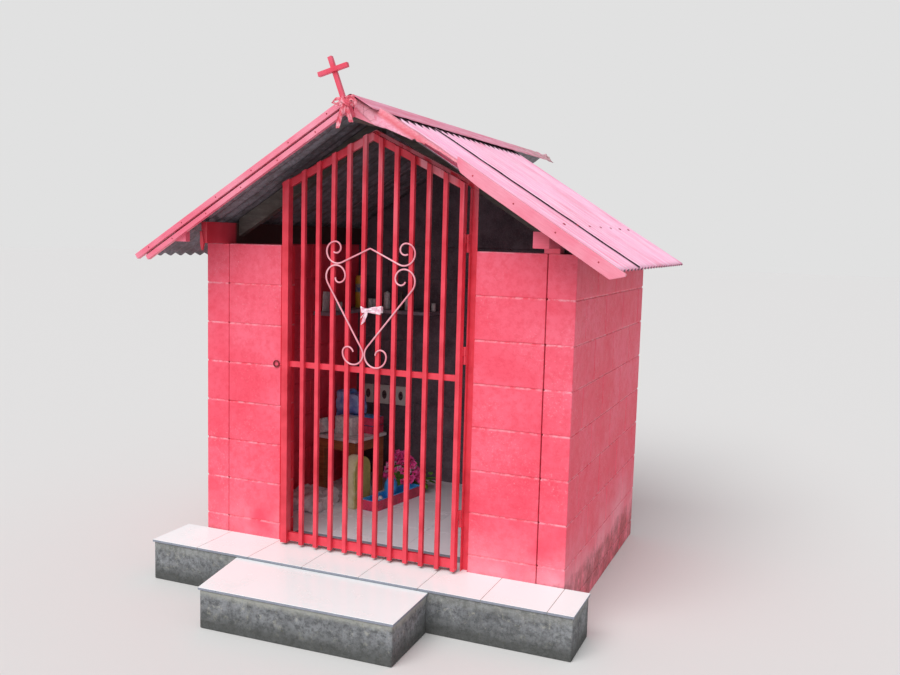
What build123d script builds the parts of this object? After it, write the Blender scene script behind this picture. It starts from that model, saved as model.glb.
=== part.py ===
"""Wayside shrine: a small block-built chapel under a corrugated gable roof, with a barred gate.

Millimetres, +Z up. While it is modelled, X runs along the front wall, Y runs into the building and
Z is 0 at the tiled porch, with the front face of the wall at Y = 0. The finished shrine is then moved so
that its origin is the middle of its bounding box on the ground.
"""
import os
from math import atan, cos, degrees, radians, sin, tan

from build123d import *

# Ground and porch
PORCH_RISE = 200
TILE_THICKNESS = 12
PORCH_HALF_WIDTH = 1070
PORCH_DEPTH = 279
TILE_OVERHANG = 6
LANDING_DROP = 14
LANDING_BACK_LEFT = -575
LANDING_BACK_RIGHT = 418
LANDING_FRONT_LEFT = -506
LANDING_FRONT_RIGHT = 426
LANDING_LEFT_REACH = 658
LANDING_RIGHT_REACH = 638

# Walls
WALL_HALF_WIDTH = 952
WALL_THICKNESS = 130
BUILDING_DEPTH = 1530
COURSE_HEIGHT = 200
FULL_COURSES = 7
TOP_BED = 67
LATCH_SIDE_ROOM = 40
HINGE_SIDE_ROOM = 38
WALL_HEIGHT = FULL_COURSES * COURSE_HEIGHT + TOP_BED

# Roof timber
ROOF_SLOPE = degrees(atan(0.622))
PLATE_WIDTH = 71
PLATE_HEIGHT = 91
PLATE_NOTCH = 21
PLATE_INSET = -19
PLANK_WIDTH = 32
PLANK_INSET = 2
PLATE_OVERHANG = 170
REAR_OVERHANG = 170
RIDGE_POLE_WIDTH = 50
RIDGE_POLE_DEPTH = 70
RAFTER_WIDTH = 42
RAFTER_DEPTH = 75
SPLINTER_DROP = 34
SPLINTER_HEIGHT = 90
SPLINTER_WIDTH = 22
SPLINTER_THICKNESS = 12

# Roof sheets
SHEET_PITCH = 78
SHEET_RIPPLE = 17
SHEET_BEND = 36
SHEET_GAUGE = 1
SHEET_RIPPLES = 9.5
SHEET_COVER_RIPPLES = 8
SHEETS_PER_SLOPE = 3
EAVE_REACH = 1134
RIDGE_SHEET_GAP = 12
SEAT = 0.3

# Ridge cap
CAP_FLANGE = 135
CAP_ROLL_RADIUS = 16
CAP_GAUGE = 1
CAP_LENGTH = 2934
CAP_FRONT = -274
CAP_TAIL_CUT = 190
CAP_LIFT = 0.3

# Barge boards and flashing
BARGE_FRONT = -249
BARGE_THICKNESS = 22
BARGE_PROUD = 20
BATTEN_HEIGHT = 32
BATTEN_END_REACH = 1190
BATTEN_START = 48
BOARD_HEIGHT = 27
BOARD_RECESS = 6
BOARD_END_REACH = 1130
CLEAT_REACH = 968
CLEAT_WIDTH = 60
CLEAT_DROP = 65
CLEAT_THICKNESS = 32
STUB_LENGTH = 112
STUB_TOP_HEIGHT = 70
STUB_END_HEIGHT = 43
FLASHING_GAUGE = 1
FLASHING_FLANGE = 70
FLASHING_FOLD = 9
FLASHING_ROLL = 22
FLASHING_TOP = 36
FLASHING_CAP_GAP = 2
FLASHING_END = 486
FLASHING_DROP = 82
RIGHT_BOARD_START = 490
RIGHT_BOARD_END = 1210
RIGHT_BOARD_PROUD = 39
RIGHT_BOARD_SAG = 10
RIGHT_BOARD_HEIGHT = 65

# Torn foot of the flashing: shares of its length, and of its drop below the fold at the back
FLASHING_TEARS = ((0, 0.8), (0.21, 1), (0.32, 0.77), (0.46, 0.61), (0.576, 0.45), (0.6, 0.28), (0.623, 0.35),
                  (0.67, 0.23), (0.687, 0.3), (0.693, 0.16), (0.84, 0.1), (1, 0.09))

# Cross
CROSS_STOCK = 20
CROSS_LENGTH = 270
CROSS_ARM_LENGTH = 147
CROSS_ARM_LEVEL = 209
CROSS_PACKER_HEIGHT = 56
CROSS_LEAN = 21
CROSS_ARM_TILT = 15
CROSS_FOOT_X = 1
CROSS_FOOT_DROP = 74
KNOT_WIDTH = 58
KNOT_HEIGHT = 50
KNOT_DEPTH = 26
KNOT_DROP = 16
KNOT_CORNER = 9
LOOP_WIDTH = 44
LOOP_HEIGHT = 30
TAIL_DEPTH = 8

# Hanging ends of the rag: place beside the knot, width, length and turn in degrees
RAG_TAILS = ((-14, 18, 116, 14.5), (-4, 16, 92, -18))

# Door frame in the opening
ANGLE_LEG = 30
ANGLE_GAUGE = 4
FRAME_PROUD = 8
HEAD_ABOVE_GATE = 16

# Gate
GATE_FRONT = -62
GATE_BOTTOM = 12
BAR_SIZE = 20
BAR_COUNT = 10
BAR_PITCH = 80
BAR_FIRST = -368
STILE_DEPTH = 40
LEFT_STILE_WIDTH = 34
LEFT_STILE_SPREAD = 10
RAIL_DEPTH = 20
RAIL_HEIGHT = 28
BOTTOM_RAIL_HEIGHT = 42
BOTTOM_RAIL_LIFT = 8
MID_RAIL_LEVEL = 884
TOP_RAIL_HEIGHT = 36
GATE_APEX = 1989
GATE_SLOPE = degrees(atan(0.49))
TUBE_WALL = 2
HINGE_RADIUS = 6
HINGE_PIN_RADIUS = 3.5
HINGE_RUNNING_GAP = 0.08
KNUCKLE_HEIGHT = 40
HINGE_LOW = 250
HINGE_MIDDLE = 1000
HINGE_HIGH = 1500
HINGE_LEAF = 3
HINGE_STRAP = 18

# Scroll ornament on the gate, in rod widths: each step is a straight length and 0, or a radius and its turn
SCROLL_ROD = 8
SCROLL_KISS_X = -25
SCROLL_KISS_Z = 975
SCROLL_TOP_FALL = 25
SCROLL_TOP = ((20.1, 0), (7, 115), (5.6, 90), (3.6, 90), (3, 125))
SCROLL_HEART_LEFT = ((6.25, 31.5), (43.25, 0), (8.5, -31.5), (6.5, -90), (6, -90), (4, -90), (2.4, -100))
SCROLL_FOOT_LEFT = ((6.25, -90), (7, -90), (3.25, -90), (3.75, -75))
SCROLL_HEART_RIGHT = ((7.25, -39.3), (43.6, 0), (8, 39.3), (6.75, 90), (5.5, 90), (3.6, 90), (2.75, 75))
SCROLL_FOOT_RIGHT = ((7.25, 90), (6.75, 90), (3.75, 90), (3.25, 90))

# Latch and ribbon
LATCH_WIRE = 5
LATCH_REACH = 26
LATCH_Z = 886
LATCH_HOLE_RADIUS = 12.5
RIBBON_X = -5
RIBBON_Z = 1178
RIBBON_LEFT = 38
RIBBON_RIGHT = 62
RIBBON_HEIGHT = 22
RIBBON_TAIL = 58
RIBBON_DEPTH = 12

# Furniture
SHELF_LEVEL = 1075
SHELF_THICKNESS = 20
SHELF_DEPTH = 190
SHELF_RIGHT = -250
SHELF_RETURN_DEPTH = 120
SHELF_RETURN_LENGTH = 390
JAR_RADIUS = 29
JAR_HEIGHT = 200
JAR_NECK = 22
JAR_SHOULDER = 10
GOODS_SETBACK = 90
GOODS_DEPTH = 36
CARD_GAUGE = 6
CARD_WIDTH = 76
CARD_HEIGHT = 120
TABLE_X = -622
TABLE_Y = 935
TABLE_TURN = -10
TABLE_WIDTH = 300
TABLE_LENGTH = 300
TABLE_HEIGHT = 355
TABLE_TOP = 18
TABLE_LEG = 46
TABLE_APRON = 60
TABLE_APRON_BOARD = 18
TABLE_OVERHANG = 12
TABLET_X = -780
TABLET_PITCH = 115
TABLET_COUNT = 3
TABLET_LEVEL = 459
TABLET_WIDTH = 70
TABLET_HEIGHT = 120
TABLET_THICKNESS = 15
SLAB_X = -450
SLAB_Y = 690
SLAB_TURN = 80
SLAB_WIDTH = 150
SLAB_THICKNESS = 85
SLAB_HEIGHT = 290
TRAY_X = -302
TRAY_Y = 848
TRAY_TURN = 79
TRAY_LENGTH = 450
TRAY_WIDTH = 106
TRAY_HEIGHT = 60
TRAY_WALL = 12
TRAY_BASE = 10

# What stands on the shelf: start and width as shares of its length, height as a share of the jar's
SHELF_GOODS = ((0.187, 0.107, 0.3), (0.376, 0.089, 0.55), (0.563, 0.107, 0.58), (0.945, 0.05, 0.25))
# What stands on the table, about its middle: left and right, front and back as shares of it, then the height
TABLE_GOODS = ((-0.49, -0.34, -0.44, -0.26, 0.25), (-0.25, 0.16, -0.2, 0.08, 0.29),
               (-0.14, 0.44, 0.13, 0.48, 0.28), (-0.49, -0.26, 0.1, 0.48, 0.68))

# Places that follow from the sizes above
ROOM_HALF_WIDTH = WALL_HALF_WIDTH - WALL_THICKNESS
ROOM_DEPTH = BUILDING_DEPTH - WALL_THICKNESS
SLOPE = tan(radians(ROOF_SLOPE))
LEAN = cos(radians(ROOF_SLOPE))
PLATE_INNER = ROOM_HALF_WIDTH + PLATE_INSET
PLATE_OUTER = PLATE_INNER + PLATE_WIDTH
PLANK_INNER = ROOM_HALF_WIDTH + PLANK_INSET
PLANK_OUTER = PLANK_INNER + PLANK_WIDTH
PLATE_TOP = WALL_HEIGHT + PLATE_HEIGHT
SHEET_UNDER = PLATE_TOP + SEAT / LEAN + SLOPE * PLATE_OUTER
SHEET_TOP = SHEET_UNDER + (SHEET_RIPPLE + SHEET_GAUGE) / LEAN
CAP_UNDER = SHEET_TOP + (SHEET_GAUGE + 2 * SEAT) / LEAN
CAP_REACH = CAP_FLANGE * LEAN
SHEET_FRONT = BARGE_FRONT + BARGE_THICKNESS + SEAT
SHEET_WIDTH = SHEET_RIPPLES * SHEET_PITCH
SHEET_STEP = SHEET_COVER_RIPPLES * SHEET_PITCH
ROOF_LENGTH = (SHEETS_PER_SLOPE - 1) * SHEET_STEP + SHEET_WIDTH
BARGE_TOP = SHEET_TOP + BARGE_PROUD
GATE_LEFT = BAR_FIRST - BAR_PITCH - (LEFT_STILE_WIDTH - BAR_SIZE) - LEFT_STILE_SPREAD
GATE_RIGHT = BAR_FIRST + BAR_COUNT * BAR_PITCH + BAR_SIZE
GATE_MIDDLE = (GATE_LEFT + GATE_RIGHT) / 2
OPENING_LEFT = GATE_LEFT - LATCH_SIDE_ROOM
OPENING_RIGHT = GATE_RIGHT + HINGE_SIDE_ROOM
LATCH_X = OPENING_LEFT - LATCH_REACH
GATE_BACK = GATE_FRONT + STILE_DEPTH
POST_RIGHT_LEG = OPENING_RIGHT - SEAT - ANGLE_LEG
HINGE_X = (GATE_RIGHT + POST_RIGHT_LEG) / 2
HINGE_Y = (GATE_BACK - FRAME_PROUD) / 2


def block(x0, x1, y0, y1, z0, z1):
    """Return a box between two opposite corners."""
    return Pos(x0, y0, z0) * Box(x1 - x0, y1 - y0, z1 - z0, align=(Align.MIN, Align.MIN, Align.MIN))


def plate_xz(points, y0, y1):
    """Return a plate with the given outline in X and Z, between two values of Y."""
    outline = Face(Wire.make_polygon([Vector(x, y0, z) for x, z in points], close=True))
    return extrude(outline, amount=y1 - y0, dir=(0, 1, 0))


def slab_xy(points, z0, z1):
    """Return a slab with the given outline in X and Y, between two heights."""
    outline = Face(Wire.make_polygon([Vector(x, y, z0) for x, y in points], close=True))
    return extrude(outline, amount=z1 - z0, dir=(0, 0, 1))


def roof_under(x):
    """Return the height of the underside of the sheets."""
    return SHEET_UNDER - SLOPE * abs(x)


def barge_line(x):
    """Return the height of the top edge of the left batten."""
    return BARGE_TOP - SLOPE * abs(x)


def right_board_line(x):
    """Return the height of the top edge of the right board, which sags a little toward the eave."""
    share = (x - RIGHT_BOARD_START) / (RIGHT_BOARD_END - RIGHT_BOARD_START)
    return SHEET_TOP + RIGHT_BOARD_PROUD - SLOPE * x - RIGHT_BOARD_SAG * share


def gate_line(x):
    """Return the height of the gate's gabled top."""
    return GATE_APEX - tan(radians(GATE_SLOPE)) * abs(x - GATE_MIDDLE)


def mirrored(shape):
    """Return the shape on the other side of the middle of the building."""
    return mirror(shape, about=Plane.YZ)


def porch():
    """Return the concrete porch and landing with their tiles."""
    base = -PORCH_RISE
    top = -TILE_THICKNESS
    side = PORCH_HALF_WIDTH
    lip = TILE_OVERHANG
    drop = -LANDING_DROP
    back = -PORCH_DEPTH + lip - SEAT
    corners = [
        (LANDING_BACK_LEFT, back),
        (LANDING_BACK_RIGHT, back),
        (LANDING_FRONT_RIGHT, -LANDING_RIGHT_REACH),
        (LANDING_FRONT_LEFT, -LANDING_LEFT_REACH),
    ]
    core = [
        (LANDING_BACK_LEFT + lip, back),
        (LANDING_BACK_RIGHT - lip, back),
        (LANDING_FRONT_RIGHT - lip, -LANDING_RIGHT_REACH + lip),
        (LANDING_FRONT_LEFT + lip, -LANDING_LEFT_REACH + lip),
    ]
    return {
        "porch_slab": block(-side + lip, side - lip, -PORCH_DEPTH + lip, 0, base, top),
        "porch_tiles": block(-side, side, -PORCH_DEPTH, 0, top, 0),
        "landing_block": slab_xy(core, base, drop - TILE_THICKNESS),
        "landing_tile": slab_xy(corners, drop - TILE_THICKNESS, drop),
    }


def room_outline():
    """Return the outline of the floor, which runs out through the doorway."""
    side = ROOM_HALF_WIDTH
    return [
        (-side, WALL_THICKNESS),
        (OPENING_LEFT, WALL_THICKNESS),
        (OPENING_LEFT, 0),
        (OPENING_RIGHT, 0),
        (OPENING_RIGHT, WALL_THICKNESS),
        (side, WALL_THICKNESS),
        (side, ROOM_DEPTH),
        (-side, ROOM_DEPTH),
    ]


def walls():
    """Return the floor and the block walls with the gable at the back."""
    base = -PORCH_RISE
    inner = ROOM_HALF_WIDTH
    outer = WALL_HALF_WIDTH
    top = WALL_HEIGHT
    side = block(inner, outer, 0, BUILDING_DEPTH, base, top)
    gable_left = PLANK_INNER - SEAT
    gable_right = PLATE_INNER - SEAT
    notch = RIDGE_POLE_WIDTH / 2 + SEAT
    notch_floor = pole_top() - RIDGE_POLE_DEPTH - SEAT
    gable = [
        (-gable_left, top),
        (gable_right, top),
        (gable_right, roof_under(gable_right) - SEAT),
        (notch, roof_under(notch) - SEAT),
        (notch, notch_floor),
        (-notch, notch_floor),
        (-notch, roof_under(notch) - SEAT),
        (-gable_left, roof_under(gable_left) - SEAT),
    ]
    return {
        "floor_slab": slab_xy(room_outline(), base, -TILE_THICKNESS),
        "floor_tiles": slab_xy(room_outline(), -TILE_THICKNESS, 0),
        "front_wall_left": block(-inner, OPENING_LEFT, 0, WALL_THICKNESS, base, top),
        "front_wall_right": block(OPENING_RIGHT, inner, 0, WALL_THICKNESS, base, top),
        "side_wall_left": mirrored(side),
        "side_wall_right": side,
        "back_wall": block(-inner, inner, ROOM_DEPTH, BUILDING_DEPTH, base, top),
        "back_gable": plate_xz(gable, ROOM_DEPTH, BUILDING_DEPTH),
    }


def pole_top():
    """Return the height of the top of the ridge pole, with its corners under the sheets."""
    return roof_under(RIDGE_POLE_WIDTH / 2) - SEAT / LEAN


def rafter(end):
    """Return a right front rafter, between the ridge pole and the inner face of a wall plate."""
    start = RIDGE_POLE_WIDTH / 2 + SEAT
    depth = RAFTER_DEPTH / LEAN
    gap = SEAT / LEAN
    outline = [
        (start, roof_under(start) - gap),
        (end, roof_under(end) - gap),
        (end, roof_under(end) - gap - depth),
        (start, roof_under(start) - gap - depth),
    ]
    return plate_xz(outline, WALL_THICKNESS - RAFTER_WIDTH, WALL_THICKNESS)


def timber():
    """Return the wall plates, the ridge pole and the front rafters."""
    back = BUILDING_DEPTH + REAR_OVERHANG
    front = -PLATE_OVERHANG
    half = RIDGE_POLE_WIDTH / 2
    top = pole_top()
    plank_top = roof_under(PLANK_OUTER) - SEAT / LEAN
    plank = block(-PLANK_OUTER, -PLANK_INNER, front, back, WALL_HEIGHT, plank_top)
    foot = WALL_HEIGHT - SPLINTER_DROP
    splinter = plate_xz([
        (-PLANK_OUTER, foot + SPLINTER_HEIGHT),
        (-PLANK_OUTER, foot + SPLINTER_DROP),
        (-PLANK_OUTER + SPLINTER_WIDTH / 3, foot),
        (-PLANK_OUTER + 2 * SPLINTER_WIDTH / 3, foot),
        (-PLANK_OUTER + SPLINTER_WIDTH, foot + SPLINTER_DROP),
        (-PLANK_OUTER + SPLINTER_WIDTH / 2, foot + SPLINTER_HEIGHT),
    ], front - SPLINTER_THICKNESS, front)
    beam = block(PLATE_INNER, PLATE_OUTER, front, back, WALL_HEIGHT, PLATE_TOP)
    for y0, y1 in ((front, 0), (BUILDING_DEPTH, back)):
        beam -= block(PLATE_INNER, PLATE_OUTER, y0, y1, WALL_HEIGHT, WALL_HEIGHT + PLATE_NOTCH)
    pole_front = BARGE_FRONT + BOARD_RECESS + BARGE_THICKNESS + SEAT
    return {
        "wall_plate_left": plank + splinter,
        "wall_plate_right": beam,
        "ridge_pole": block(-half, half, pole_front, back, top - RIDGE_POLE_DEPTH, top),
        "front_rafters": Compound([rafter(PLATE_INNER - SEAT), mirrored(rafter(PLANK_INNER - SEAT))]),
    }


def sheet_profile(start):
    """Return the rippled section of one sheet, across the slope, as a thin closed face."""
    quarter = SHEET_PITCH / 4
    bend = radians(SHEET_BEND)
    middle = SHEET_RIPPLE / 2
    radius = (quarter * sin(bend) - middle * cos(bend)) / (1 - cos(bend))
    reach = radius * sin(bend)
    shoulder = middle - radius * (1 - cos(bend))
    lower = []
    upper = []
    for edges, level in ((lower, middle), (upper, middle + SHEET_GAUGE)):
        last = (0, start, level)
        for ripple in range(int(2 * SHEET_RIPPLES)):
            side = 1 if ripple % 2 else -1
            y = start + (2 * ripple + 1) * quarter
            bent = level + side * shoulder
            arc = [(0, y - reach, bent), (0, y, level + side * middle), (0, y + reach, bent)]
            edges.append(Line(last, arc[0]))
            edges.append(ThreePointArc(*arc))
            last = arc[2]
        edges.append(Line(last, (0, start + SHEET_WIDTH, level)))
    sides = []
    for y in (start, start + SHEET_WIDTH):
        sides.append(Line((0, y, middle), (0, y, middle + SHEET_GAUGE)))
    return Face(Wire(lower + upper + sides))


def roof_sheets():
    """Return the lapped sheets of the right slope, the middle one over its neighbours."""
    top_x = RIDGE_SHEET_GAP
    run = (EAVE_REACH - top_x) / LEAN
    place = Pos(top_x, 0, roof_under(top_x)) * Rot(0, ROOF_SLOPE, 0)
    sheets = []
    for number in range(SHEETS_PER_SLOPE):
        lift = SHEET_GAUGE + SEAT if number % 2 else 0
        flat = extrude(sheet_profile(SHEET_FRONT + number * SHEET_STEP), amount=run, dir=(1, 0, 0))
        sheets.append(place * (Pos(0, 0, lift) * flat))
    return Compound(sheets)


def ridge_cap():
    """Return the ridge cap: two flanges and a roll, lifting toward its tail, which is cut aslant."""
    inner = CAP_UNDER
    reach = CAP_REACH
    edges = []
    for thickness in (0, CAP_GAUGE):
        apex = inner + thickness / LEAN
        radius = CAP_ROLL_RADIUS + thickness
        half = radius * sin(radians(ROOF_SLOPE))
        crown = apex - radius / LEAN + radius
        side_z = apex - SLOPE * half
        low_z = apex - SLOPE * reach
        roll = ((-half, CAP_FRONT, side_z), (0, CAP_FRONT, crown), (half, CAP_FRONT, side_z))
        edges.append(ThreePointArc(*roll))
        edges.append(Line((half, CAP_FRONT, side_z), (reach, CAP_FRONT, low_z)))
        edges.append(Line((-half, CAP_FRONT, side_z), (-reach, CAP_FRONT, low_z)))
    for side in (-reach, reach):
        low_z = inner - SLOPE * reach
        edges.append(Line((side, CAP_FRONT, low_z), (side, CAP_FRONT, low_z + CAP_GAUGE / LEAN)))
    cap = extrude(Face(Wire(edges)), amount=CAP_LENGTH, dir=(0, 1, 0))
    tail = CAP_FRONT + CAP_LENGTH
    corners = [(0, tail + 1), (2 * reach, tail + 1), (2 * reach, tail - 2 * CAP_TAIL_CUT)]
    aslant = slab_xy(corners, 0, 2 * inner)
    behind_batten = BARGE_FRONT + BARGE_THICKNESS + SEAT
    short = block(-2 * reach, -BATTEN_START + SEAT, CAP_FRONT - 1, behind_batten, 0, 2 * inner)
    pivot = inner + CAP_ROLL_RADIUS
    lifted = Pos(0, CAP_FRONT, pivot) * Rot(CAP_LIFT, 0, 0) * Pos(0, -CAP_FRONT, -pivot)
    return lifted * (cap - aslant - short)


def barge_left():
    """Return the batten in front of the left verge and the board below it."""
    end = -BATTEN_END_REACH
    start = -BATTEN_START
    inner = -SEAT
    batten = [
        (start, barge_line(start)),
        (start, barge_line(start) - BATTEN_HEIGHT),
        (end + BATTEN_HEIGHT / 2, barge_line(end + BATTEN_HEIGHT / 2) - BATTEN_HEIGHT),
        (end, barge_line(end)),
    ]
    top_end = -BOARD_END_REACH
    low_end = top_end + BOARD_HEIGHT / 2
    gap = SEAT / LEAN
    board = [
        (inner, roof_under(inner) - gap),
        (top_end, roof_under(top_end) - gap),
        (low_end, roof_under(low_end) - gap - BOARD_HEIGHT),
        (inner, roof_under(inner) - gap - BOARD_HEIGHT),
    ]
    front = BARGE_FRONT + BOARD_RECESS
    back = front + BARGE_THICKNESS
    side = -CLEAT_REACH + CLEAT_WIDTH
    foot = roof_under(side) - gap - CLEAT_DROP
    cleat = [
        (-CLEAT_REACH, roof_under(CLEAT_REACH) - gap),
        (side, roof_under(side) - gap),
        (side, foot),
        (-CLEAT_REACH, foot),
    ]
    return {
        "barge_batten_left": plate_xz(batten, BARGE_FRONT, BARGE_FRONT + BARGE_THICKNESS),
        "barge_board_left": plate_xz(board, front, back) + plate_xz(cleat, back, back + CLEAT_THICKNESS),
    }


def flashing():
    """Return the bent flashing over the right verge: a torn skirt, a slanted roll and a flange."""
    front = BARGE_FRONT + BOARD_RECESS - SEAT
    run = FLASHING_END / LEAN
    drop = 2 * FLASHING_DROP
    section = [
        (front, -drop),
        (front, FLASHING_FOLD * LEAN),
        (front + FLASHING_ROLL, FLASHING_TOP * LEAN),
        (front - FLASHING_GAUGE + FLASHING_FLANGE, FLASHING_TOP * LEAN),
    ]
    outer = [(y - FLASHING_GAUGE, z) for y, z in section[:2]]
    outer += [(y, z + FLASHING_GAUGE) for y, z in section[2:]]
    corners = [Vector(0, y, z) for y, z in section + list(reversed(outer))]
    outline = Face(Wire.make_polygon(corners, close=True))
    bent = extrude(outline, amount=run, dir=(1, 0, 0))
    bent = Pos(0, 0, SHEET_UNDER) * Rot(0, ROOF_SLOPE, 0) * bent
    lower = []
    for share, torn in FLASHING_TEARS:
        x = SEAT + share * FLASHING_END
        lower.append((x, roof_under(x) + FLASHING_TOP - torn * FLASHING_DROP))
    gap = FLASHING_CAP_GAP
    edge = CAP_REACH + gap
    kept = lower + [
        (FLASHING_END, roof_under(0)),
        (edge, roof_under(0)),
        (edge, CAP_UNDER - SLOPE * edge - gap),
        (SEAT, CAP_UNDER - gap),
    ]
    return bent & plate_xz(kept, front - FLASHING_FLANGE, front + 2 * FLASHING_FLANGE)


def barge_right():
    """Return the stub of the right board, the bent flashing over the verge and the lower board."""
    gap = SEAT / LEAN
    stub = [
        (SEAT, roof_under(SEAT) - gap),
        (STUB_LENGTH, roof_under(STUB_LENGTH) - gap),
        (STUB_LENGTH, roof_under(STUB_LENGTH) - gap - STUB_END_HEIGHT),
        (SEAT, roof_under(SEAT) - gap - STUB_TOP_HEIGHT),
    ]
    front = BARGE_FRONT + BOARD_RECESS
    start = RIGHT_BOARD_START
    end = RIGHT_BOARD_END
    tall = RIGHT_BOARD_HEIGHT
    board = [(start, right_board_line(start)), (end, right_board_line(end))]
    for x, share in ((end - tall / 16, 0.2), (end - tall, 1), (start + 1.5 * tall, 1), (start + tall / 5, 0.88),
                     (start, 0.56)):
        board.append((x, right_board_line(x) - share * tall))
    return {
        "barge_stub_right": plate_xz(stub, front, front + BARGE_THICKNESS),
        "barge_flashing_right": flashing(),
        "barge_board_right": plate_xz(board, BARGE_FRONT, BARGE_FRONT + BARGE_THICKNESS),
    }


def cross():
    """Return the leaning wooden cross and the lashing that holds it at the gable's point."""
    back = CAP_FRONT - SEAT
    front = back - CROSS_STOCK
    half = CROSS_STOCK / 2
    lean = Pos(CROSS_FOOT_X, 0, SHEET_UNDER - CROSS_FOOT_DROP) * Rot(0, -CROSS_LEAN, 0)
    upright = lean * block(-half, half, front, back, 0, CROSS_LENGTH)
    board_face = BARGE_FRONT + BOARD_RECESS - SEAT
    packer = lean * block(-half, half, back, board_face, 0, CROSS_PACKER_HEIGHT)
    centre = (lean * Pos(0, 0, CROSS_ARM_LEVEL)).position
    reach = CROSS_ARM_LENGTH / 2
    arm = block(-reach, reach, front - half, front + half, -half, half)
    arm = Pos(centre.X, 0, centre.Z) * Rot(0, -CROSS_ARM_TILT, 0) * arm
    knot_place = Pos(0, front - SEAT - KNOT_DEPTH / 2, SHEET_UNDER - KNOT_DROP)
    knot = Box(KNOT_WIDTH, KNOT_DEPTH, KNOT_HEIGHT)
    lashing = chamfer(knot.edges(), KNOT_CORNER)
    loop = Pos(-(KNOT_WIDTH + LOOP_WIDTH) / 2 + KNOT_CORNER, 0, -LOOP_HEIGHT / 4)
    loop *= Rot(0, -CROSS_ARM_TILT, 0) * Box(LOOP_WIDTH, TAIL_DEPTH * 2, LOOP_HEIGHT)
    lashing += loop
    for x, width, length, turn in RAG_TAILS:
        tail = block(-width / 2, width / 2, -TAIL_DEPTH / 2, TAIL_DEPTH / 2, -length, 0)
        lashing += Pos(x, 0, 0) * Rot(0, turn, 0) * tail
    return {
        "cross_upright": upright + packer - arm,
        "cross_arm": arm,
        "cross_lashing": knot_place * lashing,
    }


def door_frame():
    """Return the angle-iron posts in the opening and the gabled head over the gate."""
    front = -FRAME_PROUD
    back = front + ANGLE_LEG
    lift = HEAD_ABOVE_GATE
    left = OPENING_LEFT + SEAT
    right = OPENING_RIGHT - SEAT
    posts = []
    for wall, leg in ((left, left + ANGLE_LEG), (right, right - ANGLE_LEG)):
        toe = ANGLE_GAUGE if wall == right else -ANGLE_GAUGE
        outline = [(leg, front), (leg + toe, front), (leg + toe, back - ANGLE_GAUGE),
                   (wall, back - ANGLE_GAUGE), (wall, back), (leg, back)]
        posts.append(slab_xy(outline, 0, GATE_APEX) - above_gate_line(lift - ANGLE_LEG - SEAT))
    ends = (left, GATE_MIDDLE, right)
    face = [(x, gate_line(x) + lift) for x in ends]
    face += [(x, gate_line(x) + lift - ANGLE_LEG) for x in reversed(ends)]
    shelf = [(x, gate_line(x) + lift) for x in ends]
    shelf += [(x, gate_line(x) + lift - ANGLE_GAUGE) for x in reversed(ends)]
    head = plate_xz(face, back - ANGLE_GAUGE, back) + plate_xz(shelf, front, back)
    return {
        "door_posts": Compound(posts),
        "door_head": head,
    }


def tube(x0, x1, y0, y1, z0, z1):
    """Return an upright square tube with open ends."""
    wall = TUBE_WALL
    return block(x0, x1, y0, y1, z0, z1) - block(x0 + wall, x1 - wall, y0 + wall, y1 - wall, z0 - 1, z1 + 1)


def above_gate_line(lift):
    """Return the solid above a line that runs the given height over the gate's top."""
    reach = WALL_THICKNESS
    left = OPENING_LEFT - reach
    right = OPENING_RIGHT + reach
    top = GATE_APEX + 2 * reach
    outline = [
        (left, gate_line(left) + lift),
        (GATE_MIDDLE, GATE_APEX + lift),
        (right, gate_line(right) + lift),
        (right, top),
        (left, top),
    ]
    return plate_xz(outline, -reach, reach)


def gate():
    """Return the stiles, bars and rails of the gate."""
    above = above_gate_line(0)
    stiles = []
    for x0, x1 in ((GATE_LEFT, GATE_LEFT + LEFT_STILE_WIDTH), (GATE_RIGHT - BAR_SIZE, GATE_RIGHT)):
        stiles.append(tube(x0, x1, GATE_FRONT, GATE_BACK, GATE_BOTTOM, GATE_APEX) - above)
    bars = []
    for number in range(BAR_COUNT):
        x0 = BAR_FIRST + number * BAR_PITCH
        bar = tube(x0, x0 + BAR_SIZE, GATE_FRONT, GATE_FRONT + BAR_SIZE, GATE_BOTTOM, GATE_APEX)
        bars.append(bar - above)
    x0 = GATE_LEFT + LEFT_STILE_WIDTH
    x1 = GATE_RIGHT - BAR_SIZE
    y0 = GATE_FRONT + BAR_SIZE
    y1 = y0 + RAIL_DEPTH
    low = GATE_BOTTOM + BOTTOM_RAIL_LIFT
    rails = [
        block(x0, x1, y0, y1, MID_RAIL_LEVEL, MID_RAIL_LEVEL + RAIL_HEIGHT),
        block(x0, x1, y0, y1, low, low + BOTTOM_RAIL_HEIGHT),
    ]
    top = [(x0, gate_line(x0)), (GATE_MIDDLE, GATE_APEX), (x1, gate_line(x1)),
           (x1, gate_line(x1) - TOP_RAIL_HEIGHT), (GATE_MIDDLE, GATE_APEX - TOP_RAIL_HEIGHT),
           (x0, gate_line(x0) - TOP_RAIL_HEIGHT)]
    return {
        "gate_stiles": Compound(stiles),
        "gate_bars": Compound(bars),
        "gate_rails": Compound(rails),
        "gate_top_rails": plate_xz(top, y0, y1),
    }


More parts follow.
